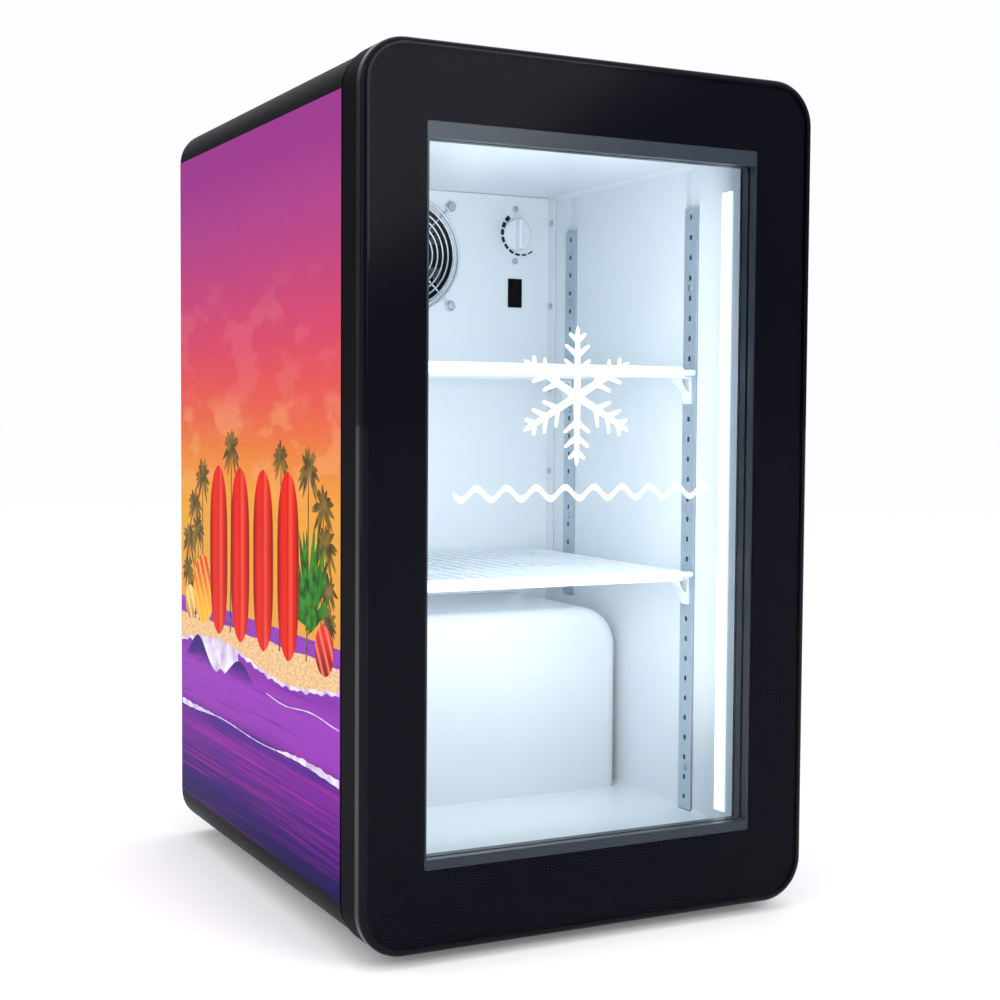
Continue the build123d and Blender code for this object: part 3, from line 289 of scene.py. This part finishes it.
def sea_paint(made, height):
    """Water in level brush strokes: indigo and magenta streaks over the colour for its height."""
    base = by_height(made, height, sea_colours)
    stroke = made.noise(4.0, 5.0, (1, 1, 60)).fade(0.46, 0.68)
    deep = made.noise(5.0, 5.0, (1, 1, 44)).fade(0.5, 0.74)
    bright_water = height.band(0.09, 0.135, 0.03)
    lit = made.mix(stroke * (bright_water * 0.5 + 0.14), base, srgb(168, 40, 158))
    return made.mix(deep * (bright_water * 0.2 + 0.5), lit, srgb(44, 20, 112))


def beach_film(name):
    """Sunset sky with soft clouds over a violet sea, printed on satin vinyl."""
    made = Finish(name, Specular_IOR_Level=0.015)
    height = made.place()[2]
    sky = by_height(made, height, sky_colours)
    cloud = made.noise(9.0, 5.0, (1, 1, 2.2))
    puff = cloud.fade(0.5, 0.58) * height.band(0.455, 0.535, 0.05)
    glow = made.noise(13.0, 4.0, (1, 1, 2.6)).fade(0.5, 0.6) * height.band(0.385, 0.44, 0.03)
    with_puffs = made.mix(puff * 0.16, sky, srgb(238, 140, 140))
    with_glow = made.mix(glow * 0.3, with_puffs, srgb(244, 176, 120))
    stroke = made.noise(30.0, 3.0, (1, 1, 9))
    brushed_sky = made.mix(stroke * 0.12, with_glow, srgb(120, 34, 96))
    made.set("Base Color", made.mix(height.fade(horizon - mm, horizon), sea_paint(made, height), brushed_sky))
    made.set("Roughness", stroke * 0.08 + 0.3)
    made.bump(made.noise(700.0, 2.0), 0.08, 0.00005)
    return made


def print_ink(name, dark, light, scale, stretch=(1, 1, 1)):
    """Flat ink with painted unevenness between two tones."""
    made = Finish(name, Specular_IOR_Level=0.015)
    tone = made.noise(scale, 4.0, stretch).fade(0.3, 0.7)
    made.set("Base Color", made.mix(tone, dark, light))
    made.set("Roughness", tone * 0.06 + 0.32)
    return made


def wave_ink(name):
    """Wave backs: indigo at the crest, running out into the sea's own colour at the foot."""
    made = Finish(name, Specular_IOR_Level=0.015)
    height = made.place()[2]
    sea = sea_paint(made, height)
    stroke = made.noise(40.0, 3.0, (1, 1, 5)) * 0.012
    made.set("Base Color", made.mix((height + stroke).fade(0.192, 0.212), sea, srgb(56, 25, 122)))
    made.set("Roughness", stroke * 4.0 + 0.3)
    return made


def board_ink(name):
    """Surfboards in red: shaded at both rails, with a pale streak down the deck and a dark stringer."""
    made = Finish(name, Specular_IOR_Level=0.015)
    x, y, z = made.place()
    along = x.math("SIGN") * (y - film_middle) - film_middle
    step = ((along - board_us[0]) / board_pitch + 0.5).math("FRACT")
    across = (step - 0.5) * (board_pitch / board_half)
    rail = across.math("ABSOLUTE").fade(0.45, 1.0)
    body = made.mix(rail, srgb(228, 30, 12), srgb(150, 12, 5))
    streak = across.band(0.18, 0.34, 0.14)
    lit = made.mix(streak * 0.22, body, srgb(255, 140, 100))
    stringer = across.band(-0.03, 0.01, 0.02)
    worn = made.noise(45.0, 4.0, (1, 1, 0.4)).fade(0.4, 0.7)
    made.set("Base Color", made.mix(stringer * 0.5 + worn * 0.12, lit, srgb(120, 12, 8)))
    made.set("Roughness", rail * 0.1 + 0.3)
    return made


def ball_ink(name, low, high, dark, light, panel):
    """Beach ball: light from above, fading between two tones over its height, with slanted panels."""
    made = Finish(name, Specular_IOR_Level=0.015)
    x, y, z = made.place()
    along = x.math("SIGN") * (y - film_middle) - film_middle
    body = made.mix(z.fade(low, high), dark, light)
    slant = ((along * 1.4 + z) * 42.0).math("FRACT").band(0.05, 0.4, 0.03)
    made.set("Base Color", made.mix(slant * 0.7, body, panel))
    made.set("Roughness", slant * 0.05 + 0.3)
    return made


# ------------------------------------------------------------------ flat shapes in print
HAIR = 0.0003 * mm


def flat_strips(name, strips, place, low, high, finish, body):
    """Thin closed shapes: each strip is a rectangle, from low to high off the surface, carried along
    stations whose two edge points are given. strips has the axes strip, station, edge, (across, up).
    Each strip stands a hair above the one before, so that none share a plane where they cross."""
    strips = np.asarray(strips, float)
    count, stations = strips.shape[:2]
    left, right = strips[:, :, 0], strips[:, :, 1]
    tops = high + HAIR * np.arange(count)[:, None]
    ring = np.stack([place(left, low), place(right, low), place(right, tops), place(left, tops)], axis=2)
    first = (np.arange(count) * stations * 4)[:, None, None]
    station = (np.arange(stations - 1) * 4)[None, :, None]
    corner = np.arange(4)[None, None, :]
    a = first + station + corner
    b = first + station + (corner + 1) % 4
    walls = np.stack([a, b, b + 4, a + 4], axis=-1).reshape(-1, 4)
    start = first[:, 0] + np.arange(4)[None, ::-1]
    end = first[:, 0] + (stations - 1) * 4 + np.arange(4)[None]
    faces = np.concatenate([walls, start, end])
    return surface(name, ring.reshape(-1, 3), faces, finish, body)


def surface(name, points, faces, finish, body):
    """Makes a piece from points and faces, with its faces turned outwards, riding on a body."""
    mesh = bpy.data.meshes.new(name)
    mesh.from_pydata(points.tolist(), [], faces.tolist())
    piece = bpy.data.objects.new(name, mesh)
    bpy.context.scene.collection.objects.link(piece)
    mesh.materials.append(finish.material)
    a, b, c, d = (points[faces[:, corner]] for corner in range(4))
    if (a * (np.cross(b, c) + np.cross(c, d))).sum() < 0:
        mesh.flip_normals()
    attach(piece, body)
    return piece


def on_side(sign):
    """Places (along, up) on the cabinet's side, for a person who looks straight at that side."""

    def place(points, lift):
        x = np.full(points.shape[:-1], sign * (film_face + lift))
        y = film_middle + sign * (points[..., 0] + film_middle)
        return np.stack([x, y, points[..., 1]], axis=-1)

    return place


def on_front(face_y):
    """Places (across, up) on a surface that faces the door's side."""

    def place(points, lift):
        return np.stack([points[..., 0], np.full(points.shape[:-1], face_y - lift), points[..., 1]], axis=-1)

    return place


def between(along, bottom, top):
    """One strip whose two edges are heights along the side."""
    return np.stack([np.stack([along, bottom], -1), np.stack([along, top], -1)], axis=1)[None]


def blade(root, tip_angle, length, width, droop, notches):
    """Strips for pointed leaves: each spine leaves the root at an angle and sags by droop times its length
    at the tip, and its half-width is a half sine over the length, notched like a comb. The root, angle,
    length and width are arrays, one entry for each leaf."""
    t = np.linspace(0, 1, 33)[None, :, None]
    angle = tip_angle[:, None, None]
    size = length[:, None, None]
    heading = np.concatenate([np.cos(angle), np.sin(angle)], axis=2)
    spine = root[:, None, :] + size * t * heading
    spine[..., 1:] -= droop * size * t**2
    normal = np.concatenate([-np.sin(angle), np.cos(angle)], axis=2)
    comb = 1 - notches * (np.arange(33) % 2)[None, :, None]
    half = width[:, None, None] * np.sin(np.pi * np.clip(t, 0.02, 0.985)) ** 0.8 * comb
    return np.stack([spine - normal * half, spine + normal * half], axis=2)


def lobe(centre, half_width, height, power):
    """One upright strip, symmetric about its middle: its half-width follows (1 - |s|^power)^(1/2) as s
    goes from -1 at the foot to 1 at the top."""
    s = np.linspace(-0.998, 0.998, 49)
    half = half_width * np.sqrt(1 - np.abs(s) ** power)
    up = centre[1] + s * height / 2
    edges = [np.stack([centre[0] + side * half, up], -1) for side in (-1, 1)]
    return np.stack(edges, axis=1)[None]


# ------------------------------------------------------------------ the beach, on both sides
board_foot = 0.227
board_height = 0.166
board_half = 0.0275
board_pitch = 0.0668
board_us = [-0.1225 + board_pitch * i for i in range(4)]
palms = [
    (-0.203, 0.352, 0.024), (-0.176, 0.380, 0.025), (-0.222, 0.314, 0.024), (-0.192, 0.326, 0.022),
    (-0.227, 0.282, 0.021), (-0.082, 0.411, 0.026), (0.060, 0.404, 0.022), (0.129, 0.396, 0.026),
    (0.164, 0.366, 0.025), (0.170, 0.334, 0.026), (0.160, 0.300, 0.023), (0.177, 0.298, 0.019),
    (0.177, 0.272, 0.019), (-0.210, 0.262, 0.019),
]
random = np.random.default_rng(7)


def sand_edge(along):
    """Height of the wet edge of the sand: a slow swell along the side."""
    return 0.2135 - 0.0075 * np.cos(2 * np.pi * (along - 0.07) / 0.38) + 0.0008 * np.sin(along * 190)


def palm_strips():
    """Every palm: thirteen fronds round a crown, and a leaning trunk down to the sand."""
    crown = np.repeat(np.array(palms), 13, axis=0)
    turn = np.tile(np.linspace(-0.9, np.pi + 0.9, 13), len(palms)) + random.uniform(-0.16, 0.16, len(crown))
    length = crown[:, 2] * random.uniform(0.85, 1.1, len(crown))
    fronds = blade(crown[:, :2], turn, length, crown[:, 2] * 0.15, 0.25, 0.5)
    t = np.linspace(0, 1, 33)[None, :]
    top = np.array(palms)
    lean = random.uniform(-0.006, 0.006, len(palms))[:, None]
    x = top[:, :1] + lean * t**2
    z = top[:, 1:2] + (board_foot + 0.006 - top[:, 1:2]) * t
    half = top[:, 2:3] * (0.035 + 0.03 * t)
    trunks = np.stack([np.stack([x - half, z], -1), np.stack([x + half, z], -1)], axis=2)
    return np.concatenate([fronds, trunks])


palm_print = palm_strips()
reach = np.linspace(-0.251, 0.2010, 160)
sand_print = between(reach, sand_edge(reach), 0.2375 + 0.0012 * np.sin(reach * 60))
wet_foot = sand_edge(reach) - 0.0028 - 0.0008 * np.sin(reach * 320)
wet_print = between(reach, wet_foot, sand_edge(reach) + 0.0006)
surf_reach = np.linspace(-0.185, -0.062, 90)
surf_print = between(surf_reach, 0.190 + 0.003 * np.sin(surf_reach * 150), sand_edge(surf_reach) - 0.001)
first_reach = np.linspace(-0.251, -0.105, 80)
first_crest = 0.186 + 0.032 * np.exp(-(((first_reach + 0.192) / 0.036) ** 2))
first_wave = between(first_reach, np.full(80, 0.178), first_crest)
second_reach = np.linspace(-0.128, 0.105, 90)
second_crest = 0.1822 + 0.026 * np.exp(-(((second_reach + 0.058) / 0.042) ** 2))
second_wave = between(second_reach, np.full(90, 0.176), second_crest)
thick = 0.0006 + 0.0034 * np.clip(1 - (reach + 0.251) / 0.11, 0, 1) ** 0.6
thick += 0.0034 * np.clip((reach - 0.05) / 0.12, 0, 1) ** 0.5
thick *= 1 + 0.25 * np.sin(reach * 230) * np.sin(reach * 67)
roll = 0.1425 - 0.0016 * np.cos(reach * 28)
break_print = between(reach, roll - thick * 0.55, roll + thick)
ripple_reach = np.linspace(0.02, 0.2, 80)
ripple = 0.1885 + 0.002 * np.cos(ripple_reach * 46)
ripple_print = between(ripple_reach, ripple - 0.0005, ripple + 0.0005)
board_middle = board_foot + board_height / 2
board_print = np.concatenate([lobe((u, board_middle), board_half, board_height, 3.2) for u in board_us])
leaf_count = 17
leaf_root = np.tile([[0.1275, 0.262]], (leaf_count, 1)) + random.uniform(-0.006, 0.006, (leaf_count, 2))
leaf_turn = np.linspace(0.35, np.pi - 0.35, leaf_count)
leaf_length = 0.046 + 0.046 * np.sin(leaf_turn) ** 2
leaf_print = blade(leaf_root, leaf_turn, leaf_length, np.full(leaf_count, 0.0052), 0.05, 0.0)

sand_ink = print_ink("sand_ink", srgb(222, 172, 118), srgb(243, 208, 160), 150.0, (1, 1, 3))
foam_ink = print_ink("foam_ink", srgb(196, 172, 214), srgb(244, 238, 250), 55.0)
palm_ink = print_ink("palm_ink", srgb(70, 56, 26), srgb(140, 112, 54), 70.0)
leaf_ink = print_ink("leaf_ink", srgb(18, 74, 24), srgb(66, 140, 44), 90.0)
wave_back_ink = wave_ink("wave_back_ink")
surfboard_ink = board_ink("surfboard_ink")
big_ball = (-0.1735, 0.2665, 0.0345)
small_ball = (-0.2185, 0.2495, 0.0175)
red_ball = (0.1665, 0.2475, 0.0215)
big_ball_ink = ball_ink("big_ball_ink", 0.24, 0.295, srgb(246, 178, 42), srgb(226, 78, 34),
                        srgb(250, 196, 96))
small_ball_ink = ball_ink("small_ball_ink", 0.235, 0.262, srgb(206, 140, 40), srgb(244, 196, 78),
                          srgb(250, 232, 190))
red_ball_ink = ball_ink("red_ball_ink", 0.23, 0.266, srgb(150, 16, 18), srgb(226, 52, 40),
                        srgb(244, 130, 110))



def ball_strip(ball):
    """Round strip for a ball given as (along, height, radius)."""
    along, height, radius = ball
    return lobe((along, height), radius, 2 * radius, 2.0)


# Each layer of the print: its label, its strips, its height off the film in millimetres, and its ink
layers = [
    ("sand", sand_print, 0.04, sand_ink),
    ("surf", surf_print, 0.05, foam_ink),
    ("first_wave", first_wave, 0.07, wave_back_ink),
    ("second_wave", second_wave, 0.075, wave_back_ink),
    ("wet_edge", wet_print, 0.06, foam_ink),
    ("breaker", break_print, 0.05, foam_ink),
    ("ripple", ripple_print, 0.05, foam_ink),
    ("palms", palm_print, 0.08, palm_ink),
    ("leaves", leaf_print, 0.15, leaf_ink),
    ("big_ball", ball_strip(big_ball), 0.16, big_ball_ink),
    ("surfboards", board_print, 0.17, surfboard_ink),
    ("small_ball", ball_strip(small_ball), 0.18, small_ball_ink),
    ("red_ball", ball_strip(red_ball), 0.18, red_ball_ink),
]
for side, sign in (("left", -1), ("right", 1)):
    for label, strips, lift, ink in layers:
        name = f"{side}_print_{label}"
        flat_strips(name, strips, on_side(sign), 0.0, lift * mm, ink, "cabinet")


# ------------------------------------------------------------------ white motif on the door's glass
def snowflake(centre, radius):
    """Six arms with three pairs of barbs each, as straight tapering strips."""
    strips = []
    for turn in np.arange(6) * math.pi / 3 + math.pi / 2:
        heading = np.array([math.cos(turn), math.sin(turn)])
        strips.append(bar(centre, centre + heading * radius, 3.4 * mm, 1.8 * mm))
        for share, size in ((0.36, 0.27), (0.58, 0.25), (0.79, 0.17)):
            root = centre + heading * radius * share
            for swing in (-1, 1):
                out = turn + swing * math.pi / 3.4
                tip = root + np.array([math.cos(out), math.sin(out)]) * radius * size
                strips.append(bar(root, tip, 2.4 * mm, 1.3 * mm))
    return np.stack(strips)


def bar(start, end, wide, narrow):
    """Straight strip whose half-width runs from wide to narrow, with a rounded tip."""
    t = np.linspace(0, 1, 17)[:, None]
    heading = (end - start) / np.linalg.norm(end - start)
    normal = np.array([-heading[1], heading[0]])
    spine = start + (end - start) * t
    half = (wide + (narrow - wide) * t) * np.sqrt(1 - np.clip((t - 0.9) / 0.102, 0, 1) ** 2)
    return np.stack([spine - normal * half, spine + normal * half], axis=1)


def wavy_line(middle, height, length, swell, periods, half):
    """Level ribbon that rises and falls as a sine."""
    along = np.linspace(-length / 2, length / 2, 241)
    up = height + swell * np.sin(along / length * periods * 2 * np.pi)
    return between(middle + along, up - half, up + half)


glass_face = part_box("front_glass")[0].y
motif_lift = 0.08 * mm
vinyl = speckled("glowing_white_vinyl", srgb(246, 249, 252), srgb(255, 255, 255), (0.35, 0.45), 500.0, 0.00004)
# The motif's white vinyl glows faintly: painted light, an emission that makes the motif brighter than the
# lamps alone light it.
vinyl.set("Emission Color", srgb(255, 255, 255))
vinyl.set("Emission Strength", 0.25)
flake = snowflake(np.array([-0.0225, 0.4600]), 0.0580)
flat_strips("snowflake_motif", flake, on_front(glass_face), 0.0, motif_lift, vinyl, "door")
line = wavy_line(-0.0125, 0.3800, 0.2460, 4.6 * mm, 9, 2.6 * mm)
flat_strips("wave_line_motif", line, on_front(glass_face), 0.0, motif_lift, vinyl, "door")

# ------------------------------------------------------------------ scale round the dial
knob_low, knob_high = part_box("thermostat_knob")
dial = np.array([(knob_low.x + knob_high.x) / 2, (knob_low.z + knob_high.z) / 2])
cover_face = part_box("evaporator_cover")[0].y


def dial_scale(centre, radius, count):
    """Arc dashes from lower right, under the dial and up its left, growing wider as they go."""
    start = np.radians(-52 - 20.5 * np.arange(count))[:, None]
    turn = start - np.radians(15.0) * np.linspace(0, 1, 13)[None]
    half = ((0.8 + 1.7 * np.arange(count) / count) * mm)[:, None, None]
    heading = np.stack([np.cos(turn), np.sin(turn)], axis=-1)
    return np.stack([centre + heading * (radius - half), centre + heading * (radius + half)], axis=2)


scale_ink = print_ink("dial_scale_ink", srgb(16, 26, 38), srgb(34, 48, 62), 300.0)
flat_strips("dial_scale", dial_scale(dial, 22.5 * mm, 9), on_front(cover_face), 0.0, 0.1 * mm, scale_ink,
            "cabinet")

# ------------------------------------------------------------------ a finish for every part
finishes = {
    "black_coated_steel": speckled("black_coated_steel", srgb(9, 9, 14), srgb(13, 13, 19),
                                   (0.3, 0.4), 260.0, 0.0001,
                                   Specular_IOR_Level=0.015),
    "galvanised_steel": galvanised("galvanised_steel"),
    "printed_film": beach_film("printed_film"),
    "white_liner": speckled("white_liner", srgb(226, 234, 240), srgb(232, 239, 244),
                            (0.28, 0.36), 120.0, 0.0002),
    "foam": insulating_foam("foam"),
    "black_rubber": speckled("black_rubber", srgb(17, 18, 22), srgb(28, 29, 34), (0.6, 0.75), 420.0, 0.00015,
                             Specular_IOR_Level=0.1),
    "black_plastic": speckled("black_plastic", srgb(9, 9, 14), srgb(14, 14, 20), (0.42, 0.52), 700.0, 0.00012,
                              Specular_IOR_Level=0.015),
    "black_ink": speckled("black_ink", srgb(15, 14, 22), srgb(18, 17, 25), (0.45, 0.55), 300.0, 0.00002,
                           Specular_IOR_Level=0.0),
    "clear_glass": pane_glass("clear_glass", (0.985, 0.993, 0.998, 1), 0.12, 0.11),
    "dark_spacer": speckled("dark_spacer", srgb(22, 32, 45), srgb(36, 48, 63), (0.3, 0.4), 500.0, 0.00005,
                            Metallic=0.3),
    "gloss_trim": speckled("gloss_trim", srgb(10, 11, 19), srgb(14, 16, 25), (0.08, 0.14), 90.0, 0.00005,
                           Specular_IOR_Level=0.02, Coat_Weight=0.7, Coat_Roughness=0.03, Coat_IOR=1.2),
    "zinc_steel": brushed("zinc_steel", srgb(168, 174, 182), srgb(210, 214, 218), 0.25, (1, 1, 1)),
    "white_plastic": speckled("white_plastic", srgb(228, 238, 244), srgb(240, 246, 250),
                              (0.3, 0.4), 300.0, 0.0001),
    "white_sheet": speckled("white_sheet", srgb(228, 236, 242), srgb(234, 241, 246),
                            (0.35, 0.45), 420.0, 0.00015),
    "white_wire": speckled("white_wire", srgb(232, 242, 248), srgb(242, 249, 253),
                           (0.25, 0.32), 160.0, 0.0001,
                           Coat_Weight=0.3),
    "chrome_wire": brushed("chrome_wire", srgb(170, 182, 194), srgb(216, 224, 230), 0.08, (1, 1, 1)),
    "lamp_channel": brushed("lamp_channel", srgb(200, 208, 214), srgb(226, 232, 236), 0.25, (1, 1, 0.05)),
    "lamp_lens": lamp_diffuser("lamp_lens"),
    "aluminium_coil": brushed("aluminium_coil", srgb(176, 182, 188), srgb(216, 220, 224), 0.22, (0.1, 1, 1)),
    "copper": copper_tube("copper"),
}
rail_zinc = brushed("rail_zinc", srgb(182, 196, 208), srgb(206, 217, 226), 0.5, (1, 1, 0.2))
slot_of = {part["node"]: part["material_slot"] for part in frame["record"]["subparts"]}
for name, part in frame["nodes"].items():
    part.data.materials.clear()
    finish = rail_zinc if name.startswith("shelf_rails") else finishes[slot_of[name]]
    part.data.materials.append(finish.material)


# ------------------------------------------------------------------ studio
def floor_sheet(name, half):
    """Level square under the cooler, big enough to reach the horizon."""
    mesh = bpy.data.meshes.new(name)
    corners = [(-half, -half, 0), (half, -half, 0), (half, half, 0), (-half, half, 0)]
    mesh.from_pydata(corners, [], [(0, 1, 2, 3)])
    made = bpy.data.objects.new(name, mesh)
    bpy.context.scene.collection.objects.link(made)
    return made


floor = floor_sheet("studio_floor", 60.0)
paper = Finish("studio_paper", Roughness=0.9, Specular_IOR_Level=0.1, Emission_Color=(1, 1, 1, 1),
               Emission_Strength=0.14)
paper.set("Base Color", paper.mix(paper.noise(3.0), srgb(246, 247, 248), srgb(248, 249, 250)))
floor.data.materials.append(paper.material)


def softbox(name, place, target, size, power, colour=(1, 1, 1), tilt=0.0):
    """Rectangular studio lamp at a place, turned to a target, and then tilted about that line."""
    lamp = bpy.data.lights.new(name, "AREA")
    lamp.shape = "RECTANGLE"
    lamp.size, lamp.size_y = size
    lamp.energy = power
    lamp.color = colour
    holder = bpy.data.objects.new(name, lamp)
    bpy.context.scene.collection.objects.link(holder)
    aim = np.array(target) - np.array(place)
    holder.location = place
    holder.rotation_mode = "QUATERNION"
    aimed = Vector(aim).to_track_quat("-Z", "Y").to_matrix().to_4x4()
    holder.rotation_quaternion = (aimed @ Matrix.Rotation(tilt, 4, "Z")).to_quaternion()
    return holder


softbox("side_softbox", (-2.6, -0.3, 1.2), (0, 0, 0.37), (2.2, 2.2), 17.0)
softbox("top_softbox", (-0.2, 0.2, 2.8), (0, 0, 0.37), (2.4, 2.4), 12.0)
softbox("front_softbox", (0.55, -2.6, 1.55), (0.0, -0.2525, 0.80), (1.6, 1.5), 36.0, tilt=math.radians(38))
lens_low, lens_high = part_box("led_lens")
fill_z = (lens_low.z + lens_high.z) / 2 + 0.04
softbox("compartment_fill", (0, lens_low.y, fill_z), (0, 1, fill_z), (0.30, 0.50), 1.22, (1.0, 0.99, 0.985))


def studio_world():
    """Pale all round to the eye; as light, bright overhead and behind the cooler and dim level with it."""
    world = bpy.data.worlds.new("studio_air")
    world.use_nodes = True
    air = NodeMaker(world.node_tree)
    background = world.node_tree.nodes["Background"]
    whole = air.node("ShaderNodeTexCoord", {}, {}, "Generated")
    behind = air.node("ShaderNodeSeparateXYZ", {}, {0: whole}, "Y").fade(-0.1, 0.8)
    overhead = air.node("ShaderNodeSeparateXYZ", {}, {0: whole}, "Z").fade(0.1, 0.6)
    seen = air.node("ShaderNodeLightPath", {}, {}, "Is Camera Ray")
    glow = behind * 0.2 + overhead * 0.92 + 0.07
    air.feed(background.inputs["Strength"], seen * (1.0 - glow) + glow)
    air.feed(background.inputs["Color"], (0.98, 0.99, 1.0, 1))
    return world


world = studio_world()
bpy.context.scene.world = world
bpy.context.scene.view_settings.view_transform = "Standard"

# ------------------------------------------------------------------ camera
camera_place = (-0.7022, -1.4470, 0.4430)
yaw, pitch, roll = (math.radians(turn) for turn in (26.989, -2.900, 0.393))
forward = np.array([math.sin(yaw) * math.cos(pitch), math.cos(yaw) * math.cos(pitch), math.sin(pitch)])
level = np.array([math.cos(yaw), -math.sin(yaw), 0.0])
up = np.cross(level, forward)
right = level * math.cos(roll) + up * math.sin(roll)
up = np.cross(right, forward)
camera_data = bpy.data.cameras.new("camera")
camera_data.lens = 59.54
camera_data.sensor_width = 36.0
camera = bpy.data.objects.new("camera", camera_data)
bpy.context.scene.collection.objects.link(camera)
axes = np.eye(4)
axes[:3, 0], axes[:3, 1], axes[:3, 2], axes[:3, 3] = right, up, -forward, camera_place
camera.matrix_world = Matrix(axes.tolist())
bpy.context.scene.camera = camera
